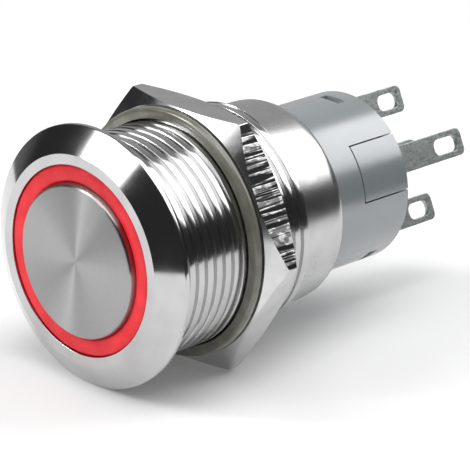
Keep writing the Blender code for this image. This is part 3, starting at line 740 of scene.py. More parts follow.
@dataclass(frozen=True)
class LensPlastic:
    """Red translucent moulding that the lamps light from behind. Its glow carries painted shade: it
    is painted dimmer at the top and bottom of the ring and towards the ring's outer edge under the
    bezel lip.
    """

    name: str = "lens_plastic"
    color: Color = (0.55, 0.008, 0.016)
    glow: Color = (1.0, 0.022, 0.04)
    strength: float = 0.35
    # Painted shade: within this distance of the ring's upright middle line, at its top and bottom,
    # the glow is painted down to half.
    painted_shade_within: float = 2.5 * MM
    bright_beside: float = 6.0 * MM
    # Painted shade: from the first radius to the second, towards the outer edge under the lip, the
    # glow is painted down to 0.45.
    bright_radius: float = 7.1 * MM
    painted_shade_radius: float = 7.95 * MM
    cloud: float = 1.6 * MM
    grain: float = 0.12 * MM
    grain_depth: float = 0.002 * MM

    def make(self) -> Material:
        """Build the material."""
        sheet = Sheet(self.name, Roughness=0.3, Emission_Strength=self.strength,
                      Specular_IOR_Level=0.25, Coat_Weight=0.1, Coat_Roughness=0.12)
        cloud = sheet.noise(sheet.place, self.cloud, 3.0)
        pale = tuple(min(1.0, part * 1.15 + 0.02) for part in self.color)
        sheet.shade(cloud, self.color, pale)
        radius, _, _ = sheet.around_axis()
        # Painted shade: the glow fades towards the ring's outer edge under the bezel lip.
        edge = sheet.blend(radius, 1.0, 0.45, self.bright_radius, self.painted_shade_radius)
        # Painted shade: the glow drops to half at the ring's top and bottom.
        aside = sheet.math("ABSOLUTE", sheet.parts()["X"])
        sides = sheet.blend(aside, 0.5, 1.0, self.painted_shade_within, self.bright_beside)
        lit = sheet.math("MULTIPLY", sides, sheet.blend(cloud, 0.8, 1.0))
        share = sheet.math("MULTIPLY", edge, lit)
        # The glow colour at the deep end of the painted shade.
        painted_shade_glow = tuple(0.2 * part for part in self.glow)
        sheet.join(sheet.tint(share, painted_shade_glow, self.glow, 0.0, 1.0), "Emission Color")
        fine = sheet.noise(sheet.place, self.grain, 2.0)
        sheet.relief(fine, self.grain_depth)
        return sheet.material


@dataclass(frozen=True)
class MouldedPlastic:
    """Moulded plastic with a fine eroded texture and faint flow clouds."""

    name: str
    color: Color
    roughness: float = 0.42
    gloss: float = 0.0
    index: float = 1.5
    grain: float = 0.1 * MM
    grain_depth: float = 0.003 * MM
    cloud: float = 4.0 * MM

    def make(self) -> Material:
        """Build the material."""
        sheet = Sheet(self.name, IOR=self.index, Coat_Weight=self.gloss, Coat_IOR=self.index,
                      Coat_Roughness=0.24)
        cloud = sheet.noise(sheet.place, self.cloud, 3.0)
        shade = tuple(0.9 * part for part in self.color)
        sheet.shade(cloud, shade, self.color)
        sheet.shine(cloud, self.roughness * 1.15, self.roughness * 0.9)
        fine = sheet.noise(sheet.place, self.grain, 3.0)
        sheet.relief(fine, self.grain_depth)
        return sheet.material


@dataclass(frozen=True)
class Rubber:
    """Moulded rubber, dull or slightly shiny, with faint bloom."""

    name: str
    color: Color
    bloom: Color
    roughness: float = 0.5
    gloss: float = 0.2
    cloud: float = 1.2 * MM
    grain: float = 0.07 * MM
    grain_depth: float = 0.003 * MM

    def make(self) -> Material:
        """Build the material."""
        sheet = Sheet(self.name, Coat_Weight=self.gloss, Coat_Roughness=0.22)
        cloud = sheet.noise(sheet.place, self.cloud, 4.0)
        sheet.shade(cloud, self.color, self.bloom)
        sheet.shine(cloud, self.roughness, self.roughness * 0.75)
        fine = sheet.noise(sheet.place, self.grain, 2.0)
        sheet.relief(fine, self.grain_depth)
        return sheet.material


@dataclass(frozen=True)
class TinnedBrass:
    """Dull tin plate over stamped brass, mottled and scuffed."""

    name: str = "tinned_brass"
    color: Color = (0.62, 0.65, 0.63)
    shade: Color = (0.26, 0.3, 0.29)
    spot: float = 0.28 * MM
    scuff: float = 0.16 * MM
    depth: float = 0.012 * MM

    def make(self) -> Material:
        """Build the material."""
        sheet = Sheet(self.name, Metallic=1.0)
        spots = sheet.noise(sheet.place, self.spot, 5.0)
        scuffs = sheet.noise(sheet.scaled(sheet.place, (1.0, 0.18, 1.0)), self.scuff, 3.0)
        mottle = sheet.math("MULTIPLY", sheet.math("ADD", spots, scuffs), 0.5)
        sheet.shade(mottle, self.shade, self.color, 0.38, 0.62)
        sheet.shine(spots, 0.5, 0.28)
        sheet.relief(mottle, self.depth)
        return sheet.material


@dataclass(frozen=True)
class DrawnWire:
    """Drawn wire or strip with long fine scratches along the axis."""

    name: str
    color: Color
    roughness: float = 0.28
    cloud: float = 0.5 * MM
    scratch: float = 0.03 * MM
    scratch_depth: float = 0.001 * MM

    def make(self) -> Material:
        """Build the material."""
        sheet = Sheet(self.name, Metallic=1.0)
        cloud = sheet.noise(sheet.place, self.cloud, 4.0)
        shade = tuple(0.75 * part for part in self.color)
        sheet.shade(cloud, shade, self.color)
        sheet.shine(cloud, self.roughness * 1.3, self.roughness)
        fine = sheet.noise(sheet.scaled(sheet.place, (1.0, 0.2, 1.0)), self.scratch, 2.0)
        sheet.relief(fine, self.scratch_depth)
        return sheet.material


@dataclass(frozen=True)
class BoardMask:
    """Green solder mask over copper, with the copper's tracks showing as paler rings."""

    name: str = "board_mask"
    color: Color = (0.012, 0.13, 0.045)
    track: Color = (0.03, 0.27, 0.09)
    track_pitch: float = 0.75 * MM
    track_gap: float = 2.0 * MM
    track_height: float = 0.02 * MM

    def make(self) -> Material:
        """Build the material."""
        sheet = Sheet(self.name, Roughness=0.35, Coat_Weight=0.4, Coat_Roughness=0.2)
        radius, turn, _ = sheet.around_axis()
        rings = sheet.math("PINGPONG", radius, self.track_pitch)
        share = sheet.math("DIVIDE", rings, self.track_pitch)
        gaps = sheet.noise(sheet.vector(turn, radius), self.track_gap, 0.0)
        tracks = sheet.math("MULTIPLY", sheet.blend(share, 0.0, 1.0, 0.5, 0.6),
                            sheet.blend(gaps, 0.0, 1.0, 0.42, 0.5))
        sheet.shade(tracks, self.color, self.track, 0.1, 0.9)
        sheet.relief(tracks, self.track_height)
        return sheet.material


class Finish(Protocol):
    """A finish that makes its own node material."""

    def make(self) -> Material:
        """Build the material."""


TINNED_WIRE = DrawnWire("tinned_wire", (0.7, 0.7, 0.68), 0.22)
FINISHES: dict[str, tuple[Finish, ...]] = {
    "stainless_steel": (TurnedSteel(),),
    "nut_steel": (PlatedSteel(), BroachedSteel()),
    "spun_steel": (SpunSteel(),),
    "red_lens": (LensPlastic(),),
    "grey_plastic": (MouldedPlastic("grey_moulding", (0.24, 0.27, 0.285), 0.23, 1.0, 1.8),),
    "white_plastic": (MouldedPlastic("white_moulding", (0.78, 0.77, 0.72)),),
    "lamp_body": (MouldedPlastic("lamp_frame", (0.85, 0.84, 0.8), 0.35),
                  MouldedPlastic("lamp_window", (0.85, 0.35, 0.1), 0.15)),
    "resistor_body": (MouldedPlastic("resistor_glaze", (0.02, 0.02, 0.022), 0.25), TINNED_WIRE),
    "olive_rubber": (Rubber("olive_rubber", (0.15, 0.148, 0.118), (0.22, 0.215, 0.18), 0.25, 0.8),),
    "black_rubber": (Rubber("black_rubber", (0.012, 0.012, 0.012), (0.03, 0.03, 0.03), 0.55),),
    "tinned_brass": (TinnedBrass(),),
    "rocker_brass": (TinnedBrass(),),
    "spring_steel": (DrawnWire("spring_wire", (0.5, 0.49, 0.47)),),
    "lead_wire": (TINNED_WIRE,),
    "contact_silver": (DrawnWire("contact_silver", (0.86, 0.85, 0.82), 0.18),),
    "board_green": (BoardMask(),),
}


@cache
def material_of(finish: Finish) -> Material:
    """Return a finish's material, made once for all the pieces that share it."""
    return finish.make()


# ---------------------------------------------------------------- pieces


def span_of(node: str) -> Point:
    """Return where a CAD node starts and ends along the button's axis."""
    low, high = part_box(node)
    return low.y, high.y


def radius_of(node: str) -> float:
    """Return the outer radius of a CAD node that is turned about the axis."""
    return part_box(node)[1].z


def joint(name: str) -> dict:
    """Return one of the record's joints."""
    return next(entry for entry in frame["joints"] if entry["name"] == name)


def clocking() -> Matrix:
    """Return the turn from the switch's own frame, contact row along X, to the row frame."""
    axis = joint("rocker_tilt")["axis"]
    return Matrix.Rotation(-math.atan2(-axis[0], axis[2]), 4, "Y")


def drill_leads(bm: BMesh, front: float, back: float) -> BMesh:
    """Drill the two lead holes through a wall between two planes."""
    for side in (1, -1):
        hole = bar(LEAD_HOLE, (front - MM, back + MM), centre=(0.0, side * LAMP_ROW))
        bm = combine(bm, hole, Cut.AWAY)
    return bm


@dataclass(frozen=True)
class Piece:
    """What a finished mesh becomes: its name, the body it rides on and what it stands for."""

    name: str
    body: str
    node: str
    slot: str

    def add(self, bm: BMesh, turn: Matrix | None = None,
            weighted: bool = False) -> bpy.types.Object:
        """Turn a mesh into the piece.

        Args:
            bm: The finished mesh, which is used up.
            turn: A turn or move that puts the mesh in the row frame.
            weighted: Whether large faces keep their normals flat next to rounded edges.

        Returns:
            The new object.
        """
        if turn is not None:
            bmesh.ops.transform(bm, matrix=turn, verts=bm.verts)
        mesh = bpy.data.meshes.new(self.name)
        bm.to_mesh(mesh)
        bm.free()
        for finish in FINISHES[self.slot]:
            mesh.materials.append(material_of(finish))
        mesh.shade_smooth()
        mesh.set_sharp_from_angle(angle=SMOOTH_ANGLE)
        piece = bpy.data.objects.new(self.name, mesh)
        bpy.context.scene.collection.objects.link(piece)
        if weighted:
            flatten = piece.modifiers.new("flat_faces", "WEIGHTED_NORMAL")
            flatten.keep_sharp = True
            flatten.weight = 100
        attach(piece, self.body)
        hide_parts(self.node)
        LOG.info("%s: %d faces, rides on %s", self.name, len(mesh.polygons), self.body)
        return piece


@dataclass
class BarrelBody:
    """Bezel, threaded barrel and plain tail, turned from one bar."""

    lip_inner: float = 7.98 * MM
    lip_width: float = 0.88 * MM
    rim_width: float = 0.42 * MM
    relief_radius: float = 8.82 * MM
    thread_floor: float = 9.05 * MM
    thread_crest: float = 9.5 * MM
    thread_pitch: float = 1.0 * MM
    thread_start: float = 1.45 * MM
    thread_end: float = 15.25 * MM
    groove_place: float = 1.3 * MM
    tail_radius: float = 8.8 * MM
    tail_rounding: float = 1.3 * MM
    bore: float = 7.45 * MM
    shelf: float = 0.8 * MM
    bore_edge: float = 0.08 * MM
    lip_edge: float = 0.04 * MM
    rim_corner: float = 0.13 * MM

    def thread(self) -> Thread:
        """Return the barrel's thread."""
        return Thread(self.thread_floor, self.thread_crest, self.thread_pitch, self.groove_place)

    def build(self) -> None:
        """Model the body and dress it."""
        face, tail_end = span_of("barrel_body")
        bezel = radius_of("barrel_body")
        corners = [
            Corner(self.tail_radius, self.thread_end),
            Corner(self.tail_radius, tail_end, self.tail_rounding),
            Corner(self.bore, tail_end, self.bore_edge),
            Corner(self.bore, self.shelf, CRISP),
            Corner(self.lip_inner, self.shelf, CRISP),
            Corner(self.lip_inner, face, CRISP),
            Corner(self.lip_inner + self.lip_width, face, self.lip_edge),
            Corner(bezel, -self.rim_width, self.rim_corner),
            Corner(bezel, 0.0, self.bore_edge),
            Corner(self.relief_radius, 0.0, SOFT),
            Corner(self.relief_radius, self.thread_start),
        ]
        bm = lathe(corners, closed=False)
        self.thread().close_onto(bm, self.thread_start, self.thread_end)
        Piece("bezel_and_barrel", "barrel", "barrel_body", "stainless_steel").add(bm)


@dataclass
class LockNut:
    """Thin hexagon nut with turned chamfers, broached flats and a running thread."""

    barrel: BarrelBody
    clearance: float = 0.12 * MM
    crest: float = 9.2 * MM
    countersink: float = 0.3 * MM
    chamfer: float = math.radians(30.0)
    front_inset: float = 0.12 * MM
    back_inset: float = 0.6 * MM
    marked_flat: float = math.radians(30.0)
    corner_rounding: float = 0.14 * MM
    edge_rounding: float = 0.04 * MM
    blank_spare: float = 1.02
    floor_share: float = 0.35
    crest_share: float = 0.08
    marked_half: float = math.radians(10.0)
    flat_reach: float = 0.99
    flat_lean: float = 0.2

    def blank(self, front: float, back: float, flats: float) -> BMesh:
        """Turn the round blank with its chamfers and its threaded bore.

        Args:
            front: The place of the front face.
            back: The place of the back face.
            flats: The distance across flats.

        Returns:
            The closed blank.
        """
        bore = self.barrel.thread_crest + self.clearance
        mouth = bore + self.countersink
        reach = flats / math.sqrt(3.0) * self.blank_spare
        front_radius = flats / 2 - self.front_inset
        back_radius = flats / 2 - self.back_inset
        front_drop = (reach - front_radius) * math.tan(self.chamfer)
        back_drop = (reach - back_radius) * math.tan(self.chamfer)
        start, end = front + self.countersink, back - self.countersink
        corners = [
            Corner(bore, end),
            Corner(mouth, back, self.edge_rounding),
            Corner(back_radius, back, self.edge_rounding),
            Corner(reach, back - back_drop),
            Corner(reach, front + front_drop),
            Corner(front_radius, front, self.edge_rounding),
            Corner(mouth, front, self.edge_rounding),
            Corner(bore, start),
        ]
        bm = lathe(corners, closed=False)
        groove = self.barrel.groove_place + self.barrel.thread_pitch / 2
        thread = Thread(bore, self.crest, self.barrel.thread_pitch, groove, self.floor_share,
                        self.crest_share)
        thread.close_onto(bm, start, end)
        return bm

    def hexagon(self, front: float, back: float, flats: float) -> BMesh:
        """Make the hexagon bar with slightly rounded corners, a flat on top.

        Args:
            front: The place of the nut's front face.
            back: The place of the nut's back face.
            flats: The distance across flats.

        Returns:
            The bar, longer than the nut at both ends.
        """
        bm = bmesh.new()
        bmesh.ops.create_cone(bm, cap_ends=True, segments=6, radius1=flats / math.sqrt(3.0),
                              radius2=flats / math.sqrt(3.0), depth=back - front + 2 * MM)
        round_edges(bm, self.corner_rounding, 4, lambda edge: runs_along(edge, 2))
        turn = Matrix.Translation((0.0, (front + back) / 2, 0.0))
        turn = turn @ Matrix.Rotation(math.radians(30.0), 4, "Y")
        turn = turn @ Matrix.Rotation(-QUARTER_TURN, 4, "X")
        bmesh.ops.transform(bm, matrix=turn, verts=bm.verts)
        return bm

    def build(self) -> None:
        """Model the nut and dress its plain faces and the flat that keeps its tool marks, whose
        colour is painted near-black between pale ribs: painted dark reflection and painted glints.
        """
        front, back = span_of("hex_nut")
        flats = 2 * radius_of("hex_nut")
        bm = combine(self.blank(front, back, flats), self.hexagon(front, back, flats), Cut.WITHIN)
        for face in bm.faces:
            centre = face.calc_center_median()
            outside = math.hypot(centre.x, centre.z) > flats / 2 * self.flat_reach
            level = abs(face.normal.y) < self.flat_lean
            off = abs(math.atan2(face.normal.z, face.normal.x) - self.marked_flat)
            face.material_index = 1 if outside and level and off < self.marked_half else 0
        Piece("lock_nut", "nut", "hex_nut", "nut_steel").add(bm, weighted=True)


@dataclass
class PanelGasket:
    """Rubber gasket in front of the nut, with a full round rim."""

    bore: float = 9.62 * MM
    bore_edge: float = 0.06 * MM

    def build(self) -> None:
        """Model the gasket and dress it."""
        front, back = span_of("panel_gasket")
        rim = radius_of("panel_gasket")
        half = (back - front) / 2
        corners = [
            Corner(self.bore, front, self.bore_edge),
            Corner(rim, front, half),
            Corner(rim, back, half),
            Corner(self.bore, back, self.bore_edge),
        ]
        Piece("flat_gasket", "gasket", "panel_gasket", "olive_rubber").add(lathe(corners))


@dataclass
class LensRing:
    """Red lens ring and the light guide that runs back to the lamps."""

    inner: float = 6.55 * MM
    guide: float = 7.4 * MM
    shelf: float = 0.75 * MM
    front_rounding: float = 0.2 * MM
    rounding: float = 0.07 * MM

    def build(self) -> None:
        """Model the ring and dress it."""
        front, end = span_of("light_ring")
        outer = radius_of("light_ring")
        corners = [
            Corner(self.inner, front, self.front_rounding),
            Corner(outer, front, self.front_rounding),
            Corner(outer, self.shelf, self.rounding),
            Corner(self.guide, self.shelf, self.rounding),
            Corner(self.guide, end, self.rounding),
            Corner(self.inner, end, self.rounding),
        ]
        Piece("lens_ring", "barrel", "light_ring", "red_lens").add(lathe(corners))


@dataclass
class PushButton:
    """The moving button: spun cap, plunger, stem seal and stop clip."""

    cap_wall: float = 0.6 * MM
    cap_edge: float = 0.26 * MM
    head_radius: float = 5.78 * MM
    head_end: float = 2.4 * MM
    stem: float = 2.4 * MM
    nose: float = 1.6 * MM
    clip_land: float = 0.4 * MM
    seal_edge: float = 0.03 * MM
    clip_groove_edge: float = 0.02 * MM
    clip_edge: float = 0.08 * MM
    clip_radius: float = 3.6 * MM
    seal_middle: float = 2.5 * MM
    clip_depth: float = 0.4 * MM
    clip_opening: float = math.radians(70.0)

    def build(self) -> None:
        """Model and dress every piece of the button."""
        self.build_cap()
        self.build_plunger()
        self.build_seal()
        self.build_clip()

    def build_cap(self) -> None:
        """Model the spun cap with a rounded edge."""
        front, end = span_of("button_cap")
        radius = radius_of("button_cap")
        inner = radius - self.cap_wall
        corners = [
            Corner(0.0, front),
            Corner(radius, front, self.cap_edge),
            Corner(radius, end, CRISP),
            Corner(inner, end, CRISP),
            Corner(inner, front + self.cap_wall, FULL),
            Corner(0.0, front + self.cap_wall),
        ]
        Piece("spun_cap", "button", "button_cap", "spun_steel").add(lathe(corners, closed=False))

    def build_plunger(self) -> None:
        """Model the plunger with its ribs, grooves and nose."""
        front, end = span_of("button_plunger")
        seal = sum(span_of("button_seal")) / 2
        section = (span_of("button_seal")[1] - span_of("button_seal")[0]) / 2 + SEAT_GAP
        clip = span_of("retaining_clip")
        seal_floor = self.seal_middle - section
        clip_floor = self.stem - self.clip_depth
        nose_start = clip[1] + self.clip_land
        corners = [
            Corner(0.0, front),
            Corner(self.head_radius, front, EASY),
            Corner(self.head_radius, self.head_end, SOFT),
            Corner(self.stem, self.head_end, FULL),
            Corner(self.stem, seal - section, self.seal_edge),
            Corner(seal_floor, seal - section, SOFT),
            Corner(seal_floor, seal + section, SOFT),
            Corner(self.stem, seal + section, self.seal_edge),
            Corner(self.stem, clip[0] - SEAT_GAP, self.clip_groove_edge),
            Corner(clip_floor, clip[0] - SEAT_GAP),
            Corner(clip_floor, clip[1] + SEAT_GAP),
            Corner(self.stem, clip[1] + SEAT_GAP, self.clip_groove_edge),
            Corner(self.stem, nose_start, SOFT),
            Corner(self.nose, nose_start, SOFT),
            Corner(self.nose, end, FULL),
            Corner(0.0, end),
        ]
        Piece("plunger_stem", "button", "button_plunger", "white_plastic").add(
            lathe(corners, FINE_STEPS // 2, closed=False))

    def build_seal(self) -> None:
        """Model the stem's O-ring."""
        start, end = span_of("button_seal")
        bm = ring_cord(self.seal_middle, (end - start) / 2, (start + end) / 2)
        Piece("stem_o_ring", "button", "button_seal", "black_rubber").add(bm)

    def build_clip(self) -> None:
        """Model the open clip with rounded ends."""
        span = span_of("retaining_clip")
        radii = (self.stem - self.clip_depth + SEAT_GAP, self.clip_radius)
        bm = sector(radii, span, -math.pi / 2, math.pi - self.clip_opening / 2)
        soften(bm, self.clip_edge, 3)
        Piece("stop_clip", "button", "retaining_clip", "spring_steel").add(bm)


@dataclass
class Springs:
    """The button's return spring and the small contact spring."""

    return_radius: float = 3.35 * MM
    return_wire: float = 0.2 * MM
    return_turns: float = 2.6
    contact_radius: float = 0.8 * MM
    contact_wire: float = 0.11 * MM
    contact_turns: float = 3.2

    def build(self) -> None:
        """Wind both springs."""
        self.wind("return", self.return_radius, self.return_wire, self.return_turns)
        self.wind("contact", self.contact_radius, self.contact_wire, self.contact_turns)

    def wind(self, use: str, radius: float, wire: float, turns: float) -> None:
        """Wind one spring and give it a mesh of its own."""
        node = f"{use}_spring"
        start, end = span_of(node)
        bm = coil(radius, wire, (start, end), turns)
        piece = Piece(f"{use}_coil", "barrel", node, "spring_steel").add(bm)
        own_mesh(piece)


@dataclass
class GuideBush:
    """White bush that guides the stem and seats its seal."""

    bearing: float = 2.46 * MM
    seal_bore: float = 3.1 * MM
    front_wall: float = 1.15 * MM
    pocket: Point = (3.9 * MM, 6.4 * MM)
    pocket_depth: float = 2.6 * MM
    pocket_half: float = math.radians(48.0)

    def build(self) -> None:
        """Model the bush, with moulded pockets between the lead holes."""
        front, back = span_of("guide_bush")
        outer = radius_of("guide_bush")
        corners = [
            Corner(self.bearing, front, SOFT),
            Corner(outer, front, EASY),
            Corner(outer, back, EASY),
            Corner(self.seal_bore, back, SOFT),
            Corner(self.seal_bore, front + self.front_wall, CRISP),
            Corner(self.bearing, front + self.front_wall, SOFT),
        ]
        bm = lathe(corners)
        bm = drill_leads(bm, front, back)
        for middle in (0.0, math.pi):
            span = (back - self.pocket_depth, back + MM)
            bm = combine(bm, sector(self.pocket, span, middle, self.pocket_half), Cut.AWAY)
        Piece("bush_body", "barrel", "guide_bush", "white_plastic").add(bm, clocking(), True)


@dataclass
class LampBoard:
    """Ring board with six lamps, a resistor and the two lead wires."""

    inner: float = 4.3 * MM
    lamp_circle: float = 6.85 * MM
    lamp_size: Size = (0.8 * MM, 0.6 * MM, 1.6 * MM)
    resistor_circle: float = 5.3 * MM
    resistor_size: Size = (0.8 * MM, 0.45 * MM, 1.6 * MM)
    resistor_angle: float = math.radians(26.0)
    lamps: int = 6
    window_inset: float = 0.14 * MM
    window_depth: float = 0.08 * MM
    end_cap: float = 0.35
    wire_rounding: float = 0.06 * MM
    edge: float = 0.03 * MM

    def build(self) -> None:
        """Model and dress the board and everything on it."""
        self.build_board()
        for number in range(1, self.lamps + 1):
            self.build_lamp(number, math.tau * (number - 0.5) / self.lamps)
        self.build_resistor()
        self.build_leads()

    def build_board(self) -> None:
        """Model the board."""
        front, back = span_of("led_board")
        outer = radius_of("led_board")
        corners = [Corner(self.inner, front), Corner(outer, front), Corner(outer, back),
                   Corner(self.inner, back)]
        Piece("lamp_board", "barrel", "led_board", "board_green").add(lathe(corners))

    def chip(self, size: Size, circle: float, angle: float, back: float,
             window: bool) -> BMesh:
        """Make a small surface part: a lamp with a sunk window, or a resistor with metal ends.

        Args:
            size: Its size outwards, along the axis and across.
            circle: The radius of the circle that it stands on.
            angle: Its place on that circle, from X towards Z.
            back: Where its back lies along the axis.
            window: Whether its front has a sunk window.

        Returns:
            The part, with the second material on its window or its ends.
        """
        low = (circle - size[0] / 2, back - size[1], -size[2] / 2)
        high = (circle + size[0] / 2, back, size[2] / 2)
        bm = block(low, high)
        if window:
            front = [face for face in bm.faces if face.normal.y < -0.9]
            bmesh.ops.inset_region(bm, faces=front, thickness=self.window_inset,
                                       depth=-self.window_depth)
            for face in front:
                face.material_index = 1
        else:
            bmesh.ops.subdivide_edges(bm, edges=[e for e in bm.edges if runs_along(e, 2)], cuts=4)
            for face in bm.faces:
                if abs(face.calc_center_median().z) > size[2] * self.end_cap:
                    face.material_index = 1
        soften(bm, self.edge, angle=60.0)
        bmesh.ops.rotate(bm, cent=(0, 0, 0), matrix=Matrix.Rotation(-angle, 3, "Y"), verts=bm.verts)
        return bm

    def build_lamp(self, number: int, angle: float) -> None:
        """Model one lamp, with a frame and a window."""
        node = f"led_{number}"
        bm = self.chip(self.lamp_size, self.lamp_circle, angle, span_of(node)[1], True)
        Piece(f"lamp_{number}", "barrel", node, "lamp_body").add(bm, weighted=True)

    def build_resistor(self) -> None:
        """Model the resistor, with tinned ends."""
        back = span_of("led_resistor")[1]
        bm = self.chip(self.resistor_size, self.resistor_circle, self.resistor_angle, back, False)
        Piece("chip_resistor", "barrel", "led_resistor", "resistor_body").add(bm, weighted=True)

    def build_leads(self) -> None:
        """Model the two straight lead wires."""
        for pole, side in (("plus", 1), ("minus", -1)):
            node = f"lead_lamp_{pole}"
            centre = (0.0, side * LAMP_ROW)
            bm = bar(LEAD_RADIUS, span_of(node), centre=centre, rounding=self.wire_rounding)
            Piece(f"wire_{pole}", "barrel", node, "lead_wire").add(bm, clocking())


@dataclass
class ContactHousing:
    """Grey housing with side notches and latch windows, its seal, and the base latched into it."""

    wall: float = 0.7 * MM
    chamber_front: float = 15.4 * MM
    chamber_wall: float = 1.0 * MM
    nose_hole: float = 1.72 * MM
    groove: float = 7.0 * MM
    groove_place: float = 18.0 * MM
    groove_half: float = 0.25 * MM
    tab_half: float = math.radians(20.0)
    tab_length: float = 5.4 * MM
    seam: float = 0.12 * MM
    latch_angles: tuple[float, ...] = (64.5, 104.0, 244.5, 284.0)
    latch_half: float = math.radians(8.5)
    latch_inset: float = 2.5 * MM
    latch_height: float = 0.9 * MM
    base_length: float = 4.3 * MM
    base_recess: float = 0.3 * MM
    slot_half: Point = (0.3 * MM, 1.25 * MM)

    def build(self) -> None:
        """Model and dress the housing, its seal and the base."""
        self.build_housing()
        self.build_seal()
        self.build_base()

    def tab(self, radii: Point, end: float, middle: float, gap: float, past: float) -> BMesh:
        """Make one side tab, or its notch, which has no gap and runs past the end."""
        span = (end - self.tab_length + gap, end + past)
        return sector(radii, span, middle, self.tab_half - gap / radius_of("contact_housing"))

    def latch(self, radii: Point, end: float, degrees: float, gap: float) -> BMesh:
        """Make one latch nub, or its window, which has no gap."""
        start = end - self.latch_inset
        half = self.latch_half - 2 * (gap / radius_of("contact_housing"))
        span = (start + gap, start + self.latch_height - gap)
        return sector(radii, span, math.radians(degrees), half)

    def build_housing(self) -> None:
        """Turn the shell, then cut its notches, windows and lead holes."""
        front, end = span_of("contact_housing")
        outer = radius_of("contact_housing")
        inner = outer - self.wall
        wall_back = self.chamber_front + self.chamber_wall
        groove_start = self.groove_place - self.groove_half
        groove_end = self.groove_place + self.groove_half
        corners = [
            Corner(inner, front, SOFT),
            Corner(outer, front, EASY),
            Corner(outer, groove_start),
            Corner(self.groove, groove_start, CRISP),
            Corner(self.groove, groove_end, CRISP),
            Corner(outer, groove_end),
            Corner(outer, end),
            Corner(inner, end),
            Corner(inner, wall_back, FULL),
            Corner(self.nose_hole, wall_back, SOFT),
            Corner(self.nose_hole, self.chamber_front, SOFT),
            Corner(inner, self.chamber_front, FULL),
        ]
        bm = lathe(corners)
        cut = (inner - MM, outer + MM)
        for middle in (0.0, math.pi):
            bm = combine(bm, self.tab(cut, end, middle, 0.0, MM), Cut.AWAY)
        for degrees in self.latch_angles:
            bm = combine(bm, self.latch(cut, end, degrees, 0.0), Cut.AWAY)
        bm = drill_leads(bm, self.chamber_front, wall_back)
        soften(bm, CRISP)
        Piece("switch_housing", "barrel", "contact_housing", "grey_plastic").add(
            bm, clocking(), True)

    def build_seal(self) -> None:
        """Model the housing's O-ring in its groove."""
        start, end = span_of("housing_seal")
        section = (end - start) / 2
        bm = ring_cord(radius_of("housing_seal") - section, section, (start + end) / 2)
        Piece("housing_o_ring", "barrel", "housing_seal", "black_rubber").add(bm)

    def build_base(self) -> None:
        """Model the base: a disc with two flush tabs, latch nubs and blade slots."""
        end = span_of("contact_housing")[1]
        outer = radius_of("contact_housing")
        front, back = end - self.base_length, end - self.base_recess
        disc = outer - self.wall - self.seam
        corners = [Corner(0.0, front), Corner(disc, front, SOFT), Corner(disc, back, EASY),
                   Corner(0.0, back)]
        bm = lathe(corners, closed=False)
        for middle in (0.0, math.pi):
            tab = self.tab((disc - MM, outer), end, middle, self.seam, 0.0)
            bm = combine(bm, tab, Cut.TOGETHER)
        for degrees in self.latch_angles:
            nub = self.latch((disc - MM, outer - self.wall / 2), end, degrees, self.seam)
            bm = combine(bm, nub, Cut.TOGETHER)
        thin, wide = self.slot_half
        for x, z in Terminals.places().values():
            slot = block((x - thin, front - 2 * MM, z - wide), (x + thin, end + MM, z + wide))
            bm = combine(bm, slot, Cut.AWAY)
        soften(bm, CRISP)
        Piece("base_plate", "barrel", "terminal_base", "grey_plastic").add(bm, clocking(), True)


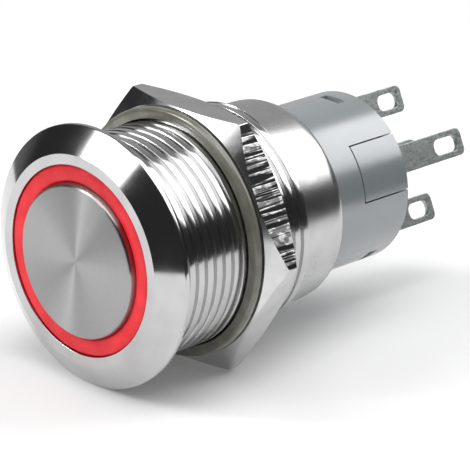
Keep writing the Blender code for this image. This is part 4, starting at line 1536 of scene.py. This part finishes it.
@dataclass
class Terminals:
    """The five stamped blades, with the feet and yoke that carry the contacts."""

    width: float = 2.4 * MM
    thickness: float = 0.5 * MM
    tip_corner: float = 0.55 * MM
    eye_width: float = 1.4 * MM
    eye_end: float = 0.6 * MM
    eye_corner: float = 0.42
    corner_steps: int = 6
    contact_eye: float = 3.0 * MM
    lamp_eye: float = 2.5 * MM
    stamped_edge: float = 0.06 * MM
    foot_inset: float = 0.1 * MM
    foot_reach: float = 3.68 * MM
    bridge_room: float = 0.65 * MM
    rocker_width: float = 2.2 * MM
    ear_gap: float = 0.12 * MM
    ear_thickness: float = 0.5 * MM
    ear_half: float = 0.8 * MM
    pin_hole: float = 0.35 * MM

    @staticmethod
    def places() -> dict[str, Point]:
        """Return (x, z) of each blade's middle in the switch's own frame, by node name."""
        return {
            "terminal_normally_open": (-CONTACT_ROW, 0.0),
            "terminal_common": (0.0, 0.0),
            "terminal_normally_closed": (CONTACT_ROW, 0.0),
            "terminal_lamp_plus": (0.0, LAMP_ROW),
            "terminal_lamp_minus": (0.0, -LAMP_ROW),
        }

    def blade(self, node: str, start: float, eye_length: float) -> BMesh:
        """Make one blade with a rounded tip and a solder eye.

        Args:
            node: The blade's CAD node.
            start: Where the blade starts along the axis.
            eye_length: The eye's length.

        Returns:
            The blade.
        """
        x, z = self.places()[node]
        tip = span_of(node)[1]
        half = self.thickness / 2
        bm = block((x - half, start, z - self.width / 2), (x + half, tip, z + self.width / 2))
        round_edges(bm, self.tip_corner, self.corner_steps,
                    lambda edge: runs_along(edge, 0) and edge.verts[0].co.y > tip - WELD)
        eye_back = tip - self.eye_end
        eye = block((x - MM, eye_back - eye_length, z - self.eye_width / 2),
                    (x + MM, eye_back, z + self.eye_width / 2))
        round_edges(eye, self.eye_width * self.eye_corner, self.corner_steps,
                    lambda edge: runs_along(edge, 0))
        return combine(bm, eye, Cut.AWAY)

    def finish(self, bm: BMesh, node: str) -> None:
        """Round a blade's stamped edges, name it after its node and dress it."""
        soften(bm, self.stamped_edge)
        name = node.replace("terminal", "blade")
        Piece(name, "barrel", node, "tinned_brass").add(bm, clocking(), True)

    def build(self) -> None:
        """Model and dress the five terminals."""
        for node in ("terminal_lamp_plus", "terminal_lamp_minus"):
            self.finish(self.blade(node, span_of(node)[0], self.lamp_eye), node)
        for node, side in (("terminal_normally_open", -1), ("terminal_normally_closed", 1)):
            start = span_of(node)[0]
            bm = self.blade(node, start, self.contact_eye)
            foot = start + self.foot_inset
            reach = sorted((side * self.foot_reach, self.places()[node][0]))
            half = self.width / 2 - self.foot_inset
            plate = block((reach[0], foot, -half), (reach[1], foot + self.thickness, half))
            self.finish(combine(bm, plate, Cut.TOGETHER), node)
        self.build_common()

    def build_common(self) -> None:
        """Model the middle blade with the yoke that holds the rocker's pin."""
        node = "terminal_common"
        ear_front = span_of(node)[0]
        pivot = joint("rocker_tilt")["pos_m"][1]
        bridge = span_of("fixed_contact_open")[1] + self.bridge_room
        bridge_back = bridge + self.thickness
        bm = self.blade(node, bridge + self.thickness / 2, self.contact_eye)
        inner = self.rocker_width / 2 + self.ear_gap
        outer = inner + self.ear_thickness
        yoke = block((-self.ear_half, ear_front, -outer), (self.ear_half, bridge_back, outer))
        gap = block((-2 * self.ear_half, ear_front - MM, -inner),
                    (2 * self.ear_half, bridge, inner))
        yoke = combine(yoke, gap, Cut.AWAY)
        hole = bar(self.pin_hole, (-2 * outer, 2 * outer), Turn.UPRIGHT, (0.0, pivot))
        yoke = combine(yoke, hole, Cut.AWAY)
        self.finish(combine(bm, yoke, Cut.TOGETHER), node)


@dataclass
class Changeover:
    """Rocker, silver rivets and pivot pin inside the housing."""

    reach: float = 5.0 * MM
    contact_place: float = 4.4 * MM
    thickness: float = 0.4 * MM
    width: float = 2.2 * MM
    boss: float = 0.75 * MM
    boss_end: float = 0.05 * MM
    bore: float = 0.36 * MM
    rivet: float = 0.6 * MM
    rivet_height: float = 0.33 * MM
    pin: float = 0.3 * MM
    pin_half: float = 1.84 * MM
    tilt: float = math.radians(4.0)
    rivet_rounding: float = 0.12 * MM
    pin_rounding: float = 0.08 * MM
    plate_corner: float = 0.5 * MM
    edge: float = 0.03 * MM

    def pivot(self) -> float:
        """Return the pivot's place along the axis."""
        return joint("rocker_tilt")["pos_m"][1]

    def build(self) -> None:
        """Model and dress the rocker, the rivets and the pin."""
        lean = clocking() @ Matrix.Translation((0.0, self.pivot(), 0.0))
        lean = lean @ Matrix.Rotation(self.tilt, 4, "Z")
        self.build_rocker(lean)
        seat = self.thickness / 2 + SEAT_GAP
        for state, side in (("open", -1), ("closed", 1)):
            rivets = (("rocker", "rocker", "moving", (seat, seat + self.rivet_height), lean),
                      ("fixed", "barrel", "fixed", span_of(f"fixed_contact_{state}"), clocking()))
            for name, body, kind, span, turn in rivets:
                bm = bar(self.rivet, span, centre=(side * self.contact_place, 0.0),
                         rounding=self.rivet_rounding)
                node = f"{kind}_contact_{state}"
                Piece(f"{name}_rivet_{state}", body, node, "contact_silver").add(bm, turn)
        bm = bar(self.pin, (-self.pin_half, self.pin_half), Turn.UPRIGHT, (0.0, self.pivot()),
                 self.pin_rounding)
        Piece("rocker_pin", "barrel", "pivot_pin", "spring_steel").add(bm, clocking())

    def build_rocker(self, lean: Matrix) -> None:
        """Model the rocker level on its pivot, then lean it to its rest."""
        half = (self.thickness / 2, self.width / 2)
        bm = block((-self.reach, -half[0], -half[1]), (self.reach, half[0], half[1]))
        round_edges(bm, self.plate_corner, 5, lambda edge: runs_along(edge, 1))
        ends = self.width / 2 + self.boss_end
        bm = combine(bm, bar(self.boss, (-ends, ends), Turn.UPRIGHT), Cut.TOGETHER)
        bm = combine(bm, bar(self.bore, (-self.width, self.width), Turn.UPRIGHT), Cut.AWAY)
        soften(bm, self.edge)
        Piece("rocker_plate", "rocker", "contact_rocker", "rocker_brass").add(bm, lean, True)


# ---------------------------------------------------------------- studio


@dataclass(frozen=True)
class Softbox:
    """A rectangular soft light that points at the object from a direction."""

    name: str
    azimuth: float
    elevation: float
    width: float
    height: float
    distance: float
    brightness: float

    def build(self) -> None:
        """Add the light; its brightness is its radiance."""
        light = bpy.data.lights.new(self.name, "AREA")
        light.shape = "RECTANGLE"
        light.size = self.width
        light.size_y = self.height
        light.energy = self.brightness * math.pi * self.width * self.height
        azimuth, elevation = math.radians(self.azimuth), math.radians(self.elevation)
        way = Vector((math.cos(azimuth) * math.cos(elevation),
                      math.sin(azimuth) * math.cos(elevation), math.sin(elevation)))
        holder = bpy.data.objects.new(self.name, light)
        holder.location = way * self.distance
        holder.rotation_mode = "QUATERNION"
        holder.rotation_quaternion = (-way).to_track_quat("-Z", "Y")
        holder.visible_camera = False
        bpy.context.scene.collection.objects.link(holder)


@dataclass
class Studio:
    """Pale table, dim room, softboxes and the camera."""

    table_radius: float = 90 * MM
    table_color: Color = (0.82, 0.82, 0.82)
    table_glow: float = 0.1
    table_middle: float = 18 * MM
    table_gap: float = 0.02 * MM
    table_sides: int = 96
    room: Color = (0.03, 0.03, 0.032)
    wall: Color = (0.45, 0.45, 0.45)
    wall_facing: tuple[float, float, float] = (-0.68, 0.68, 0.27)
    wall_edges: Point = (0.6, 0.95)
    softboxes: tuple[Softbox, ...] = (
        Softbox("front_box", -121.0, 34.0, 0.29, 0.36, 0.5, 3.0),
        Softbox("rear_box", 70.0, 43.0, 0.36, 0.42, 0.5, 3.0),
        Softbox("strip_box", -131.0, 40.0, 0.03, 0.3, 0.49, 26.0),
        Softbox("top_box", -40.0, 80.0, 0.45, 0.45, 0.6, 3.4),
    )
    lens: float = 251.0
    camera_azimuth: float = math.radians(44.0)
    camera_elevation: float = math.radians(21.45)
    camera_roll: float = math.radians(2.3)
    camera_distance: float = 264 * MM
    camera_aside: float = 11.3 * MM
    camera_lift: float = 1.7 * MM
    camera_clip: Point = (0.01, 10.0)

    def build(self) -> None:
        """Make the floor, the room, the lights and the camera."""
        self.build_table()
        self.build_room()
        for box in self.softboxes:
            box.build()
        self.build_camera()
        settings = bpy.context.scene.view_settings
        settings.view_transform = "Standard"
        settings.look = "None"

    def build_table(self) -> None:
        """Make the round pale table that the button lies on."""
        bm = bmesh.new()
        bmesh.ops.create_circle(bm, cap_ends=True, segments=self.table_sides,
                                radius=self.table_radius)
        middle = (0.0, self.table_middle, CAD_BOX[0].z - self.table_gap)
        bmesh.ops.translate(bm, vec=middle, verts=bm.verts)
        mesh = bpy.data.meshes.new("table_top")
        bm.to_mesh(mesh)
        bm.free()
        sheet = Sheet("table_paper", Base_Color=self.table_color, Roughness=0.8,
                      Emission_Color=(1.0, 1.0, 1.0), Emission_Strength=self.table_glow)
        mesh.materials.append(sheet.material)
        table = bpy.data.objects.new("table_top", mesh)
        bpy.context.scene.collection.objects.link(table)

    def build_room(self) -> None:
        """Make a dim room with a grey wall behind, and a white backdrop for the camera."""
        world = bpy.data.worlds.new("studio_room")
        world.use_nodes = True
        tree = world.node_tree
        coords = tree.nodes.new("ShaderNodeTexCoord")
        facing = tree.nodes.new("ShaderNodeVectorMath")
        facing.operation = "DOT_PRODUCT"
        facing.inputs[1].default_value = self.wall_facing
        tree.links.new(coords.outputs["Generated"], facing.inputs[0])
        ramp = tree.nodes.new("ShaderNodeValToRGB")
        stops = zip(ramp.color_ramp.elements, self.wall_edges, (self.room, self.wall))
        for stop, where, color in stops:
            stop.position = where
            stop.color = (*color, 1.0)
        tree.links.new(facing.outputs["Value"], ramp.inputs["Fac"])
        path = tree.nodes.new("ShaderNodeLightPath")
        choose = tree.nodes.new("ShaderNodeMix")
        choose.data_type = "RGBA"
        room_side, camera_side = choose.inputs[6], choose.inputs[7]
        camera_side.default_value = (1.0, 1.0, 1.0, 1.0)
        tree.links.new(path.outputs["Is Camera Ray"], choose.inputs[0])
        tree.links.new(ramp.outputs["Color"], room_side)
        tree.links.new(choose.outputs[2], tree.nodes["Background"].inputs["Color"])
        bpy.context.scene.world = world

    def build_camera(self) -> None:
        """Place the camera in front of the button, to its right and above it."""
        azimuth, elevation = self.camera_azimuth, self.camera_elevation
        back = Vector((math.sin(azimuth) * math.cos(elevation),
                       -math.cos(azimuth) * math.cos(elevation), math.sin(elevation)))
        level = Vector((0.0, 0.0, 1.0)).cross(back).normalized()
        upright = back.cross(level)
        roll = self.camera_roll
        right = level * math.cos(roll) + upright * math.sin(roll)
        up = upright * math.cos(roll) - level * math.sin(roll)
        place = right * self.camera_aside + up * self.camera_lift + back * self.camera_distance
        turn = Matrix((right, up, back)).transposed().to_4x4()
        data = bpy.data.cameras.new("product_camera")
        data.lens = self.lens
        data.clip_start, data.clip_end = self.camera_clip
        camera = bpy.data.objects.new("product_camera", data)
        camera.matrix_world = Matrix.Translation(place) @ turn
        bpy.context.scene.collection.objects.link(camera)
        bpy.context.scene.camera = camera


def main() -> None:
    """Build the object's sub-assemblies in order, then the studio."""
    logging.basicConfig(level=logging.INFO, format="%(name)s %(message)s")
    barrel = BarrelBody()
    assemblies = (
        barrel,
        LockNut(barrel),
        PanelGasket(),
        LensRing(),
        PushButton(),
        Springs(),
        GuideBush(),
        LampBoard(),
        ContactHousing(),
        Terminals(),
        Changeover(),
    )
    for assembly in assemblies:
        assembly.build()
    Studio().build()


if __name__ == "__main__":
    main()
